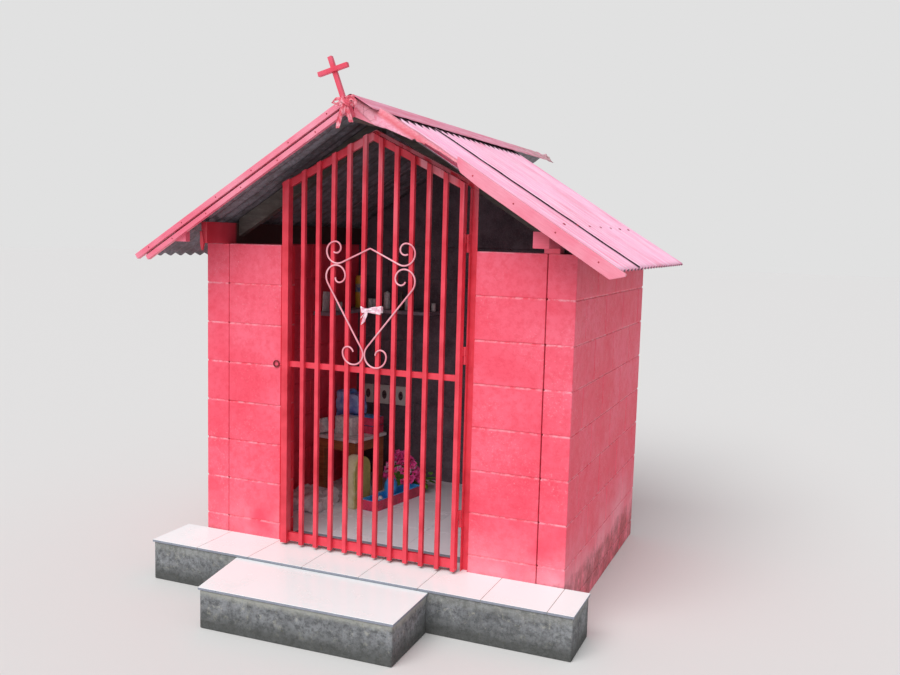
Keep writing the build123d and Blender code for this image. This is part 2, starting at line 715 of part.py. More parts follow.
def hinges():
    """Return the fixed knuckles with their pins, and the knuckles on the gate that turn on them."""
    pins = []
    barrels = []
    leg = POST_RIGHT_LEG
    for level in (HINGE_LOW, HINGE_MIDDLE, HINGE_HIGH):
        axis = Pos(HINGE_X, HINGE_Y, level)
        knuckle = axis * Cylinder(HINGE_RADIUS, KNUCKLE_HEIGHT, align=(Align.CENTER, Align.CENTER, Align.MAX))
        pin = axis * Cylinder(HINGE_PIN_RADIUS, KNUCKLE_HEIGHT, align=(Align.CENTER, Align.CENTER, Align.MIN))
        leaf = block(leg, leg + HINGE_LEAF, HINGE_Y, -FRAME_PROUD, level - KNUCKLE_HEIGHT, level)
        tongue = block(HINGE_X, leg + HINGE_LEAF, HINGE_Y, HINGE_Y + HINGE_LEAF, level - KNUCKLE_HEIGHT, level)
        pins.append(knuckle + pin + leaf + tongue)
        lift = SEAT
        upper = Pos(0, 0, lift) * axis * Cylinder(HINGE_RADIUS, KNUCKLE_HEIGHT - lift,
                                                  align=(Align.CENTER, Align.CENTER, Align.MIN))
        strap = block(GATE_RIGHT, GATE_RIGHT + HINGE_LEAF, GATE_BACK - HINGE_STRAP, HINGE_Y,
                      level + lift, level + KNUCKLE_HEIGHT)
        bore = axis * Cylinder(HINGE_PIN_RADIUS + HINGE_RUNNING_GAP, 4 * KNUCKLE_HEIGHT)
        barrels.append(upper + strap - bore)
    return {
        "hinge_pins": Compound(pins),
        "gate_hinge_barrels": Compound(barrels),
    }


def rod_side(x, z, heading, steps, offset):
    """Return the edges of one side of a rod that follows straight and curved steps, tangent to each other."""
    edges = []
    for widths, turn in steps:
        size = widths * SCROLL_ROD
        if turn == 0:
            angle = radians(heading)
            x1 = x + size * cos(angle)
            z1 = z + size * sin(angle)
            shift = (-offset * sin(angle), offset * cos(angle))
            edges.append(Line((x + shift[0], z + shift[1]), (x1 + shift[0], z1 + shift[1])))
        else:
            side = 90 if turn > 0 else -90
            centre_x = x + size * cos(radians(heading + side))
            centre_z = z + size * sin(radians(heading + side))
            radius = size - offset if turn > 0 else size + offset
            spokes = [radians(heading - side + part * turn) for part in (0, 0.5, 1)]
            points = [(centre_x + radius * cos(spoke), centre_z + radius * sin(spoke)) for spoke in spokes]
            edges.append(ThreePointArc(*points))
            x1 = centre_x + size * cos(spokes[2])
            z1 = centre_z + size * sin(spokes[2])
            heading += turn
        x, z = x1, z1
    return edges


def rod(x, z, heading, steps):
    """Return a square rod on the front of the bars, from a starting point and heading."""
    half = SCROLL_ROD / 2
    left = rod_side(x, z, heading, steps, half)
    right = rod_side(x, z, heading, steps, -half)
    ends = [Line(left[0] @ 0, right[0] @ 0), Line(left[-1] @ 1, right[-1] @ 1)]
    upright = Plane(origin=(0, GATE_FRONT, 0), x_dir=(1, 0, 0), z_dir=(0, -1, 0))
    return extrude(upright * Face(Wire(left + right + ends)), amount=SCROLL_ROD, dir=(0, -1, 0))


def gate_scroll():
    """Return the two halves of the rod heart, curled at top and foot, and the roof-shaped rod over them."""
    side = (SCROLL_ROD + SEAT) / 2
    left_x = SCROLL_KISS_X - side
    right_x = SCROLL_KISS_X + side
    left = rod(left_x, SCROLL_KISS_Z, 90, SCROLL_HEART_LEFT)
    left += rod(left_x, SCROLL_KISS_Z, 270, SCROLL_FOOT_LEFT)
    right = rod(right_x, SCROLL_KISS_Z, 90, SCROLL_HEART_RIGHT)
    right += rod(right_x, SCROLL_KISS_Z, 270, SCROLL_FOOT_RIGHT)
    middle = (left.bounding_box().min.X + right.bounding_box().max.X) / 2
    mirrored_top = [(size, -turn) for size, turn in SCROLL_TOP]
    top = rod(middle, 0, -SCROLL_TOP_FALL, SCROLL_TOP) + rod(middle, 0, 180 + SCROLL_TOP_FALL, mirrored_top)
    heart_top = max(left.bounding_box().max.Z, right.bounding_box().max.Z)
    top = Pos(0, 0, heart_top + SEAT - top.bounding_box().min.Z) * top
    return {
        "gate_scroll_top": top,
        "gate_scroll_left": left,
        "gate_scroll_right": right,
    }


def ribbon():
    """Return the cloth strip tied round two bars: a flat knot with one tail."""
    front = GATE_FRONT - SEAT
    back = RIBBON_Z - RIBBON_HEIGHT / 3
    left = RIBBON_X - RIBBON_LEFT
    cloth = block(left, RIBBON_X + RIBBON_RIGHT, front - RIBBON_DEPTH, front, back, back + RIBBON_HEIGHT)
    tail = block(left, RIBBON_X - RIBBON_LEFT / 4, front - RIBBON_DEPTH, front, back - RIBBON_TAIL, back)
    return {"gate_ribbon": cloth + tail}


def latch():
    """Return the ring that holds the gate's chain, standing out of the wall beside the gate."""
    outer = LATCH_HOLE_RADIUS + LATCH_WIRE
    ring = Cylinder(outer, LATCH_WIRE) - Cylinder(LATCH_HOLE_RADIUS, 2 * LATCH_WIRE)
    ring = Pos(LATCH_X, -LATCH_WIRE / 2 - SEAT, LATCH_Z) * Rot(90, 0, 0) * ring
    shank = block(LATCH_X - LATCH_WIRE / 2, LATCH_X + LATCH_WIRE / 2, -LATCH_WIRE / 2, 0,
                  LATCH_Z + LATCH_HOLE_RADIUS, LATCH_Z + outer)
    return {"latch_ring": ring + shank}


def jar():
    """Return the tall candle jar, a turned glass with a shoulder and a short neck."""
    shoulder = JAR_HEIGHT - JAR_SHOULDER
    outline = Wire.make_polygon([
        Vector(0, 0, 0),
        Vector(JAR_RADIUS, 0, 0),
        Vector(JAR_RADIUS, 0, shoulder),
        Vector(JAR_NECK, 0, JAR_HEIGHT),
        Vector(0, 0, JAR_HEIGHT),
    ], close=True)
    return revolve(Face(outline), Axis.Z)


def shelf():
    """Return the corner shelf and what stands on it."""
    wall = -ROOM_HALF_WIDTH + SEAT
    back = ROOM_DEPTH - SEAT
    front = back - SHELF_DEPTH
    return_front = front - SHELF_RETURN_LENGTH
    outline = [
        (wall, return_front),
        (wall + SHELF_RETURN_DEPTH, return_front),
        (wall + SHELF_RETURN_DEPTH, front),
        (SHELF_RIGHT, front),
        (SHELF_RIGHT, back),
        (wall, back),
    ]
    top = SHELF_LEVEL
    middle = front + GOODS_SETBACK
    half = GOODS_DEPTH / 2
    length = SHELF_RIGHT - wall
    goods = [Pos(wall + 1.7 * JAR_RADIUS, middle, top) * jar()]
    for start, width, height in SHELF_GOODS:
        x0 = wall + start * length
        x1 = x0 + width * length
        goods.append(block(x0, x1, middle - half, middle + half, top, top + height * JAR_HEIGHT))
    card = wall + SHELF_RETURN_DEPTH / 2
    card_back = return_front + CARD_WIDTH
    goods.append(block(card - CARD_GAUGE, card, return_front, card_back, top, top + CARD_HEIGHT))
    packet = return_front + 2.5 * CARD_WIDTH
    goods.append(block(card - half, card + half, packet - half, packet + half, top, top + JAR_HEIGHT / 4))
    return {
        "shelf": slab_xy(outline, top - SHELF_THICKNESS, top),
        "shelf_candles": Compound(goods),
    }


def on_table(shape):
    """Return a shape placed in the table's own turned frame."""
    return Pos(TABLE_X, TABLE_Y, 0) * Rot(0, 0, TABLE_TURN) * shape


def table():
    """Return the small table with its aprons and legs, and the boxes on it."""
    w = TABLE_WIDTH / 2
    d = TABLE_LENGTH / 2
    under = TABLE_HEIGHT - TABLE_TOP
    wi = w - TABLE_OVERHANG
    di = d - TABLE_OVERHANG
    leg = TABLE_LEG
    board = TABLE_APRON_BOARD
    frame = block(-wi, wi, -di, di, under - TABLE_APRON, under)
    frame -= block(-wi + board, wi - board, -di + board, di - board, 0, TABLE_HEIGHT)
    for x0 in (-wi, wi - leg):
        for y0 in (-di, di - leg):
            frame += block(x0, x0 + leg, y0, y0 + leg, 0, under)
    boxes = []
    for x0, x1, y0, y1, height in TABLE_GOODS:
        top = TABLE_HEIGHT * (1 + height)
        boxes.append(block(2 * w * x0, 2 * w * x1, 2 * d * y0, 2 * d * y1, TABLE_HEIGHT, top))
    return {
        "table_top": on_table(block(-w, w, -d, d, under, TABLE_HEIGHT)),
        "table_frame": on_table(frame),
        "table_boxes": on_table(Compound(boxes)),
    }


def offerings():
    """Return the white tablets on the back wall, the round-topped slab and the tray on the floor."""
    tablets = []
    wall = ROOM_DEPTH - SEAT
    for number in range(TABLET_COUNT):
        x0 = TABLET_X + number * TABLET_PITCH
        tablets.append(block(x0, x0 + TABLET_WIDTH, wall - TABLET_THICKNESS, wall,
                             TABLET_LEVEL, TABLET_LEVEL + TABLET_HEIGHT))
    half = SLAB_WIDTH / 2
    spring = SLAB_HEIGHT - half
    outline = [
        Line((-half, 0), (half, 0)),
        Line((half, 0), (half, spring)),
        ThreePointArc((half, spring), (0, SLAB_HEIGHT), (-half, spring)),
        Line((-half, spring), (-half, 0)),
    ]
    standing = extrude(Plane.XZ * Face(Wire(outline)), amount=SLAB_THICKNESS / 2, both=True)
    length = TRAY_LENGTH / 2
    width = TRAY_WIDTH / 2
    inside = TRAY_WALL
    tray = block(-length, length, -width, width, 0, TRAY_HEIGHT)
    long = length - inside
    wide = width - inside
    tray -= block(-long, long, -wide, wide, TRAY_BASE, 2 * TRAY_HEIGHT)
    return {
        "white_tablets": Compound(tablets),
        "round_topped_slab": Pos(SLAB_X, SLAB_Y, 0) * Rot(0, 0, SLAB_TURN) * standing,
        "floor_tray": Pos(TRAY_X, TRAY_Y, 0) * Rot(0, 0, TRAY_TURN) * tray,
    }


def build():
    """Return every node of the shrine by name, about the porch's own zero."""
    nodes = {}
    for group in (porch(), walls(), timber()):
        nodes.update(group)
    sheets = roof_sheets()
    nodes["roof_sheets_left"] = mirrored(sheets)
    nodes["roof_sheets_right"] = sheets
    nodes["ridge_cap"] = ridge_cap()
    for group in (barge_left(), barge_right(), cross(), door_frame(), gate(), hinges()):
        nodes.update(group)
    for group in (gate_scroll(), ribbon(), latch(), shelf(), table(), offerings()):
        nodes.update(group)
    return nodes


def main():
    """Move the shrine to the middle of its box on the ground, and write one file for each node."""
    nodes = build()
    box = Compound(list(nodes.values())).bounding_box()
    shift = Pos(-(box.min.X + box.max.X) / 2, -(box.min.Y + box.max.Y) / 2, -box.min.Z)
    os.makedirs("parts", exist_ok=True)
    for name, shape in nodes.items():
        export_step(shift * shape, f"parts/{name}.step")
    print("shift", shift.position, "box", box.size)
    print("hinge axis", (shift * Pos(HINGE_X, HINGE_Y, 0)).position)


main()
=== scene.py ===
"""Looks of a small wayside shrine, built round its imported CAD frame: block walls, roof, gate and goods."""

import math
import random

import bmesh
import bpy
from mathutils import Matrix, Vector, noise


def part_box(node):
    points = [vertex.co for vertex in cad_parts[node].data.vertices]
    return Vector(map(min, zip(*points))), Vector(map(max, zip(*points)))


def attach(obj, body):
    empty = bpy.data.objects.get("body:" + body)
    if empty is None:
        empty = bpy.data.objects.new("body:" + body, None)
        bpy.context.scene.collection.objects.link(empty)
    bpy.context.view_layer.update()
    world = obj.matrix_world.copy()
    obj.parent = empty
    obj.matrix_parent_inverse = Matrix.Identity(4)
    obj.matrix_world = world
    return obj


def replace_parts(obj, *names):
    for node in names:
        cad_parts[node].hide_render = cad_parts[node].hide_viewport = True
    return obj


bl_info = {
    "name": "Wayside Shrine",
    "version": (1, 0, 0),
    "blender": (4, 5, 0),
    "location": "View3D > Sidebar > Shrine",
    "description": "Dresses the frame of a small wayside shrine in blocks, painted timber, sheets and steel",
    "category": "Object",
}

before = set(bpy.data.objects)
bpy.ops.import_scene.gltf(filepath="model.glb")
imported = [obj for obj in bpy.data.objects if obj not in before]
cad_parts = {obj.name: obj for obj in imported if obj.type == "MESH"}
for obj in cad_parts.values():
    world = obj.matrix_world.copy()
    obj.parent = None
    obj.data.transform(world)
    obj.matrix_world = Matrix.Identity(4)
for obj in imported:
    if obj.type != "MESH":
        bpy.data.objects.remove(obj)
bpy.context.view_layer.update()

# Places in millimetres start from the middle of the porch tiles, their top and the wall's front face
PORCH_MIDDLE = (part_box("porch_tiles")[0].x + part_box("porch_tiles")[1].x) / 2
TILE_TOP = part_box("porch_tiles")[1].z
WALL_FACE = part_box("front_wall_left")[0].y
BACK_MIDDLE = (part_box("back_wall")[0].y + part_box("back_wall")[1].y) / 2
ROOM_MIDDLE = (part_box("side_wall_left")[1].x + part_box("side_wall_right")[0].x) / 2
ROOM_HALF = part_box("side_wall_right")[0].x - ROOM_MIDDLE + 0.02
FIXED = "shrine"
GATE = "gate"

# The dents and crumples come out the same each time
NOISE_SEED = 7

# Roof, in millimetres
SLOPE = 0.622
ROOF_ANGLE = math.atan(SLOPE)
SHEET_START_X = 12
SHEET_UNDER = 2101.98
EAVE_X = 1134
SHEET_FRONT = -226.7
RIPPLE_PITCH = 78
RIPPLE_DEPTH = 17
RIPPLES = 9.5
SHEET_STEP = 624
SHEETS = 3
NAIL_ROW_X = 838
CAP_UNDER = 2125.06
CAP_FRONT = -274
CAP_LENGTH = 2934
CAP_REACH = 114.6
CAP_ROLL = 16
CAP_RISE = math.radians(0.3)
CAP_FREE_TAIL = 2150
BATTEN_BACK = -227
BATTEN_START = -47.7
BATTEN_FACE = -249
BATTEN_NAIL_Z = 2127
BOARD_NAIL_Z = 2088

# Gate scroll, in rod widths: each step is a straight length and 0, or a radius and its turn in degrees
ROD = 8
ROD_Y = -66
KISS_X = -25
KISS_Z = 975
HEART_LEFT = ((6.25, 31.5), (43.25, 0), (8.5, -31.5), (6.5, -90), (6, -90), (4, -90), (2.4, -100))
FOOT_LEFT = ((6.25, -90), (7, -90), (3.25, -90), (3.75, -75))
HEART_RIGHT = ((7.25, -39.3), (43.6, 0), (8, 39.3), (6.75, 90), (5.5, 90), (3.6, 90), (2.75, 75))
FOOT_RIGHT = ((7.25, 90), (6.75, 90), (3.75, 90), (3.25, 90))
PEAK = ((20.1, 0), (7, 115), (5.6, 90), (3.6, 90), (3, 125))
PEAK_FALL = 25

# The table stands turned a little in its corner
TABLE_TURN = Matrix.Rotation(math.radians(-10), 3, "Z")

# Bed joints of the block walls, in metres
COURSE = 0.198
BED_START = TILE_TOP + 0.082 - COURSE

# Camera, solved on the photograph from the wall, porch and roof edges
CAMERA_PLACE = (1930.4, -3806.3, 1520.4)
CAMERA_YAW = 22.196
CAMERA_PITCH = -6.174
CAMERA_ROLL = 1.538
CAMERA_FOCAL_PX = 915.84
IMAGE_WIDTH_PX = 900


def place(x, y, z):
    """Return a point in the frame from millimetres about the wall's front face and the porch's tiles."""
    return Vector((PORCH_MIDDLE + x / 1000, WALL_FACE + y / 1000, TILE_TOP + z / 1000))


def linear(hex_colour, alpha=1.0):
    """Return an sRGB hex colour as a linear colour."""
    channels = []
    for start in (1, 3, 5):
        value = int(hex_colour[start:start + 2], 16) / 255
        channels.append(value / 12.92 if value <= 0.04045 else ((value + 0.055) / 1.055) ** 2.4)
    return (*channels, alpha)


# Plain names for kinds of node: the type, the output it gives, the sockets that values fill in order with
# what they hold when none is given, and the node's settings
PATTERN = {"Vector": None, "Scale": None}
NODES = {
    "object place": ("TexCoord", "Object", {}, {}),
    "turn": ("Mapping", "Vector", {"Vector": None, "Rotation": None}, {}),
    "stretch": ("Mapping", "Vector", PATTERN, {}),
    "x": ("SeparateXYZ", "X", {"Vector": None}, {}),
    "y": ("SeparateXYZ", "Y", {"Vector": None}, {}),
    "z": ("SeparateXYZ", "Z", {"Vector": None}, {}),
    "attribute": ("Attribute", "Fac", {}, {}),
    "noise": ("TexNoise", "Fac", {**PATTERN, "Detail": 4.0, "Roughness": 0.6}, {}),
    "colour noise": ("TexNoise", "Color", {**PATTERN, "Detail": 4.0}, {}),
    "cells": ("TexVoronoi", "Distance", PATTERN, {"feature": "SMOOTH_F1"}),
    "cell edges": ("TexVoronoi", "Distance", PATTERN, {"feature": "DISTANCE_TO_EDGE"}),
    "cell colours": ("TexVoronoi", "Color", PATTERN, {"feature": "F1"}),
    "threads": ("TexWave", "Fac", PATTERN, {}),
    "red": ("SeparateColor", 0, {0: None}, {}),
    "moved": ("VectorMath", 0, {0: None, 1: None, 2: None}, {"operation": "MULTIPLY_ADD"}),
    "range": ("MapRange", "Result", {"Value": None, "From Min": 0.0, "From Max": 1.0,
                                     "To Min": 0.0, "To Max": 1.0}, {}),
    "times": ("Math", 0, {0: None, 1: None}, {"operation": "MULTIPLY"}),
    "plus": ("Math", 0, {0: None, 1: None}, {"operation": "ADD"}),
    "minus": ("Math", 0, {0: None, 1: None}, {"operation": "SUBTRACT"}),
    "larger": ("Math", 0, {0: None, 1: None}, {"operation": "MAXIMUM"}),
    "size": ("Math", 0, {0: None}, {"operation": "ABSOLUTE"}),
    "wrapped": ("Math", 0, {0: None, 1: None}, {"operation": "FLOORED_MODULO"}),
    "mix": ("Mix", 2, {0: None, 6: None, 7: None}, {"data_type": "RGBA"}),
    "bump": ("Bump", "Normal", {"Height": None, "Distance": None, "Strength": None}, {}),
    "coat": ("BsdfPrincipled", "BSDF", {"Base Color": None, "Roughness": None, "Normal": None,
                                        "Specular IOR Level": 0.5, "Metallic": 0.0, "Sheen Weight": 0.0}, {}),
    "finished": ("OutputMaterial", None, {"Surface": None}, {"is_active_output": True}),
    "camera ray": ("LightPath", "Is Camera Ray", {}, {}),
    "transmission ray": ("LightPath", "Is Transmission Ray", {}, {}),
    "glow": ("Background", 0, {"Color": None, "Strength": None}, {}),
    "mixed light": ("MixShader", 0, {0: None, 1: None, 2: None}, {}),
    "world": ("OutputWorld", None, {"Surface": None}, {}),
}


def add(tree, kind, *values, **settings):
    """Add a node with its settings, fill its sockets in order with values or links, and return its output."""
    node_type, output, sockets, usual = NODES[kind]
    made = tree.nodes.new("ShaderNode" + node_type)
    for name, value in {**usual, **settings}.items():
        setattr(made, name, value)
    for socket, value in {**sockets, **dict(zip(sockets, values))}.items():
        if isinstance(value, bpy.types.NodeSocket):
            tree.links.new(value, made.inputs[socket])
        elif value is not None:
            made.inputs[socket].default_value = linear(value) if isinstance(value, str) else value
    return None if output is None else made.outputs[output]


def new_material(name):
    """Start a material, and return it with its node tree and its Object coordinates."""
    material = bpy.data.materials.new(name)
    material.use_nodes = True
    tree = material.node_tree
    tree.nodes.clear()
    return material, tree, add(tree, "object place")


def surface(material, colour, roughness, relief, depth_mm, strength, specular=0.5, metallic=0.0, sheen=0.0):
    """Close a material with its colour, its roughness and a relief of the given depth, and return it."""
    tree = material.node_tree
    normal = add(tree, "bump", relief, depth_mm / 1000, strength)
    add(tree, "finished", add(tree, "coat", colour, roughness, normal, specular, metallic, sheen))
    return material


def masonry_outside(tree, coords, height, colours):
    """Return the red outside: faded, mottled, chalky at foot, splashed near the ground, painted highlight on
    joint arrises.
    """
    fade = add(tree, "range", add(tree, "noise", coords, 1000 / 420, 3.0), 0.36, 0.66)
    colour = add(tree, "mix", fade, colours.wall_red, colours.wall_faded)
    mottle = add(tree, "range", add(tree, "noise", coords, 1000 / 30, 6.0, 0.75), 0.45, 0.62, 0.0, 0.5)
    colour = add(tree, "mix", mottle, colour, colours.wall_deep)
    chalk = add(tree, "range", add(tree, "noise", coords, 1000 / 11, 5.0, 0.8), 0.55, 0.68, 0.0, 0.45)
    worn = add(tree, "range", add(tree, "noise", coords, 1000 / 260, 3.0), 0.42, 0.6)
    colour = add(tree, "mix", add(tree, "times", chalk, worn), colour, colours.wall_chalk_and_highlight)
    # A pale painted highlight along each bed joint's arrises, standing for the light they catch
    phase = add(tree, "wrapped", add(tree, "minus", height, BED_START), COURSE)
    above = add(tree, "range", phase, 0.0, 0.0045, 1.0, 0.0)
    below = add(tree, "range", phase, COURSE - 0.0085, COURSE - 0.001, 0.0, 1.0)
    broken = add(tree, "range", add(tree, "noise", coords, 1000 / 34, 4.0, 0.7), 0.4, 0.6)
    painted_highlight_lip = add(tree, "times", add(tree, "larger", above, below), broken)
    colour = add(tree, "mix", add(tree, "times", painted_highlight_lip, 0.75), colour, colours.wall_chalk_and_highlight)
    foot = add(tree, "range", height, TILE_TOP + 0.02, TILE_TOP + 0.26, 0.55, 0.0)
    colour = add(tree, "mix", add(tree, "times", foot, fade), colour, colours.wall_chalk_and_highlight)
    near_ground = add(tree, "range", height, 0.16, 0.34, 1.0, 0.0)
    edge = add(tree, "noise", coords, 1000 / 90, 6.0, 0.75)
    splash = add(tree, "range", add(tree, "times", near_ground, edge), 0.34, 0.6, 0.0, 0.8)
    return add(tree, "mix", splash, colour, "#9c5456")


def masonry_inside(tree, coords, depth):
    """Return the colours of the room: deep red on its sides, and bare gritty block on its back wall."""
    clouds = add(tree, "range", add(tree, "noise", coords, 1000 / 150, 5.0, 0.7), 0.35, 0.65)
    grit = add(tree, "range", add(tree, "noise", coords, 1000 / 9, 5.0, 0.8), 0.5, 0.7, 0.0, 0.6)
    block = add(tree, "mix", grit, add(tree, "mix", clouds, "#53464f", "#776973"), "#8d7e88")
    deep = add(tree, "mix", clouds, "#f03850", "#fb5068")
    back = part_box("back_wall")[0].y
    return add(tree, "mix", add(tree, "range", depth, back - 0.03, back - 0.02), deep, block)


def masonry_paint(colours):
    """Rolled red masonry paint: chalky outside, painted light on the door jambs, deep red in the room, bare
    block on its back wall.
    """
    material, tree, coords = new_material("masonry_paint_rolled")
    x, depth, height = (add(tree, axis, coords) for axis in ("x", "y", "z"))
    colour = masonry_outside(tree, coords, height, colours)
    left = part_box("front_wall_left")[1].x
    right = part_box("front_wall_right")[0].x
    half = (right - left) / 2
    from_middle = add(tree, "size", add(tree, "minus", x, (left + right) / 2))
    # The door jambs get a brighter, purer red: painted light on reveals that the lamps reach poorly
    painted_light_jamb = add(tree, "range", from_middle, half + 0.003, half + 0.006, 1.0, 0.0)
    colour = add(tree, "mix", painted_light_jamb, colour, "#ff3048")
    across = add(tree, "size", add(tree, "minus", x, ROOM_MIDDLE))
    between_sides = add(tree, "range", across, ROOM_HALF, ROOM_HALF + 0.002, 1.0, 0.0)
    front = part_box("front_wall_left")[1].y
    behind_front = add(tree, "range", depth, front - 0.006, front - 0.004)
    before_back = add(tree, "range", depth, BACK_MIDDLE - 0.001, BACK_MIDDLE, 1.0, 0.0)
    inside = add(tree, "times", add(tree, "times", between_sides, behind_front), before_back)
    colour = add(tree, "mix", inside, colour, masonry_inside(tree, coords, depth))
    roughness = add(tree, "range", add(tree, "noise", coords, 1000 / 90, 6.0, 0.75), 0.3, 0.7, 0.48, 0.7)
    grit = add(tree, "times", add(tree, "noise", coords, 1000 / 8, 5.0, 0.7), 0.7)
    pits = add(tree, "range", add(tree, "cells", coords, 1000 / 11), 0.0, 0.45)
    relief = add(tree, "plus", grit, add(tree, "times", pits, 0.3))
    return surface(material, colour, roughness, relief, 3.0, 0.7, specular=0.3)


def painted_wood(name, colours, turn, base, faded):
    """Gloss paint brushed on sawn timber: brush lines and grain along the board, chips down to grey wood."""
    material, tree, coords = new_material(name)
    lengthwise = add(tree, "turn", coords, turn)
    strokes = add(tree, "noise", add(tree, "stretch", lengthwise, (0.06, 1.0, 1.0)), 1000 / 3.5, 4.0, 0.7)
    fade = add(tree, "range", add(tree, "noise", coords, 1000 / 260, 3.0), 0.36, 0.64)
    colour = add(tree, "mix", fade, base, faded)
    colour = add(tree, "mix", add(tree, "range", strokes, 0.35, 0.65, 0.0, 0.22), colour, colours.gloss_deep)
    along = add(tree, "stretch", lengthwise, (0.35, 1.0, 1.0))
    chips = add(tree, "range", add(tree, "noise", along, 1000 / 24, 6.0, 0.75), 0.70, 0.73)
    colour = add(tree, "mix", chips, colour, "#8d7b70")
    inside = add(tree, "range", add(tree, "y", coords), place(0, 55, 0).y, place(0, 75, 0).y)
    colour = add(tree, "mix", inside, colour, add(tree, "mix", strokes, "#33201f", "#57403b"))
    relief = add(tree, "plus", strokes, add(tree, "times", chips, -0.6))
    roughness = add(tree, "range", chips, 0.0, 1.0, 0.34, 0.8)
    return surface(material, colour, roughness, relief, 0.7, 0.6)


def gloss_steel(name, base, deep, rust_low, rust_high):
    """Red gloss enamel brushed on mild steel: a hard shine with sags, and rust low down."""
    material, tree, coords = new_material(name)
    sags = add(tree, "noise", add(tree, "stretch", coords, (1.0, 1.0, 0.15)), 1000 / 14, 4.0, 0.6)
    fade = add(tree, "range", add(tree, "noise", coords, 1000 / 180, 3.0), 0.38, 0.66)
    colour = add(tree, "mix", fade, base, deep)
    colour = add(tree, "mix", add(tree, "range", sags, 0.5, 0.75, 0.0, 0.35), colour, deep)
    high = add(tree, "range", add(tree, "z", coords), TILE_TOP + 1.5, TILE_TOP + 1.95, 0.0, 0.75)
    chalk = add(tree, "noise", add(tree, "stretch", coords, (1.0, 1.0, 0.08)), 1000 / 60, 3.0, 0.5)
    right = add(tree, "range", add(tree, "x", coords), place(-170, 0, 0).x, place(30, 0, 0).x, 0.1, 1.0)
    chalked = add(tree, "times", add(tree, "times", high, right), add(tree, "range", chalk, 0.42, 0.56))
    colour = add(tree, "mix", chalked, colour, "#f2a7b6")
    low = add(tree, "range", add(tree, "z", coords), rust_low, rust_high, 1.0, 0.0)
    spots = add(tree, "noise", coords, 1000 / 13, 6.0, 0.75)
    spread = add(tree, "range", low, 0.0, 1.0, 0.86, 1.12)
    rust = add(tree, "range", add(tree, "times", spots, spread), 0.70, 0.76)
    rust_colour = add(tree, "mix", add(tree, "noise", coords, 1000 / 3, 4.0), "#6b2f1c", "#a4552d")
    colour = add(tree, "mix", rust, colour, rust_colour)
    roughness = add(tree, "range", rust, 0.0, 1.0, 0.27, 0.85)
    relief = add(tree, "plus", sags, add(tree, "times", rust, 0.5))
    return surface(material, colour, roughness, relief, 0.8, 0.5)


def roof_paint(colours):
    """Faded red roof paint on corrugated zinc: crests chalk-pale, valleys dirty and deep, partly painted
    highlight and shade.
    """
    material, tree, coords = new_material("faded_roof_paint")
    crest = add(tree, "attribute", attribute_name="crest")
    # The base pinks carry a painted reflection of the sky
    fade = add(tree, "range", add(tree, "noise", coords, 1000 / 330, 4.0), 0.34, 0.66)
    colour = add(tree, "mix", fade, colours.roof_pink_and_sky_sheen, colours.roof_pale_and_sky_sheen)
    wash = add(tree, "noise", add(tree, "stretch", coords, (0.1, 1.0, 0.1)), 1000 / 34, 5.0, 0.7)
    # Pale crests are partly wear and partly painted highlight; deep valleys are partly dirt and partly
    # painted shade
    worn = add(tree, "times", crest, add(tree, "range", wash, 0.3, 0.7, 0.5, 1.35))
    colour = add(tree, "mix", add(tree, "range", worn, 0.45, 0.95, 0.0, 0.8), colour, colours.roof_chalk_and_crest_highlight)
    rinsed = add(tree, "times", crest, add(tree, "range", wash, 0.3, 0.7, 0.7, 1.4))
    dirt_and_valley_shade = add(tree, "range", rinsed, 0.12, 0.5, 0.85, 0.0)
    colour = add(tree, "mix", dirt_and_valley_shade, colour, colours.roof_dirt_and_valley_shade)
    specks = add(tree, "range", add(tree, "noise", coords, 1000 / 14, 5.0, 0.75), 0.67, 0.72, 0.0, 0.6)
    colour = add(tree, "mix", specks, colour, "#9a7f78")
    # Painted shadow under the ridge cap's edge, reaching further down the valleys than on the crests
    reach = add(tree, "size", add(tree, "minus", add(tree, "x", coords), PORCH_MIDDLE))
    scallop = add(tree, "minus", reach, add(tree, "times", add(tree, "minus", 1.0, crest), 0.034))
    painted_cap_shadow = add(tree, "range", scallop, CAP_REACH / 1000 - 0.001, CAP_REACH / 1000 + 0.003, 1.0, 0.0)
    # The lap band and the cap's edge share one dark colour: painted shadow
    lap = add(tree, "attribute", attribute_name="lap")
    shade = add(tree, "larger", painted_cap_shadow, lap)
    colour = add(tree, "mix", add(tree, "times", shade, 0.93), colour, "#3f222c")
    roughness = add(tree, "range", specks, 0.0, 1.0, 0.42, 0.8)
    relief = add(tree, "noise", coords, 1000 / 9, 4.0)
    return surface(material, colour, roughness, relief, 0.6, 0.5)


def cap_paint(colours):
    """Brushed paint on the folded ridge cap: dull, pale along the roll, and bare and stained at the tail."""
    material, tree, coords = new_material("ridge_paint_worn")
    wash = add(tree, "noise", add(tree, "stretch", coords, (1.0, 0.12, 1.0)), 1000 / 30, 5.0, 0.7)
    colour = add(tree, "mix", add(tree, "range", wash, 0.35, 0.65), colours.cap_red, colours.cap_pink)
    specks = add(tree, "range", add(tree, "noise", coords, 1000 / 20, 6.0, 0.8), 0.6, 0.68, 0.0, 0.6)
    colour = add(tree, "mix", specks, colour, "#a8404e")
    tail = add(tree, "range", add(tree, "y", coords), place(0, 1500, 0).y, place(0, 2500, 0).y)
    flaked = add(tree, "range", add(tree, "noise", coords, 1000 / 60, 6.0, 0.8), 0.4, 0.56)
    peeled = add(tree, "times", tail, flaked)
    stains = add(tree, "range", add(tree, "noise", coords, 1000 / 24, 5.0, 0.75), 0.42, 0.6)
    bare = add(tree, "mix", stains, "#cbb7b4", "#7d5a4c")
    colour = add(tree, "mix", peeled, colour, bare)
    roughness = add(tree, "range", specks, 0.0, 1.0, 0.42, 0.8)
    relief = add(tree, "plus", wash, add(tree, "noise", coords, 1000 / 9, 4.0))
    return surface(material, colour, roughness, relief, 0.8, 0.5)


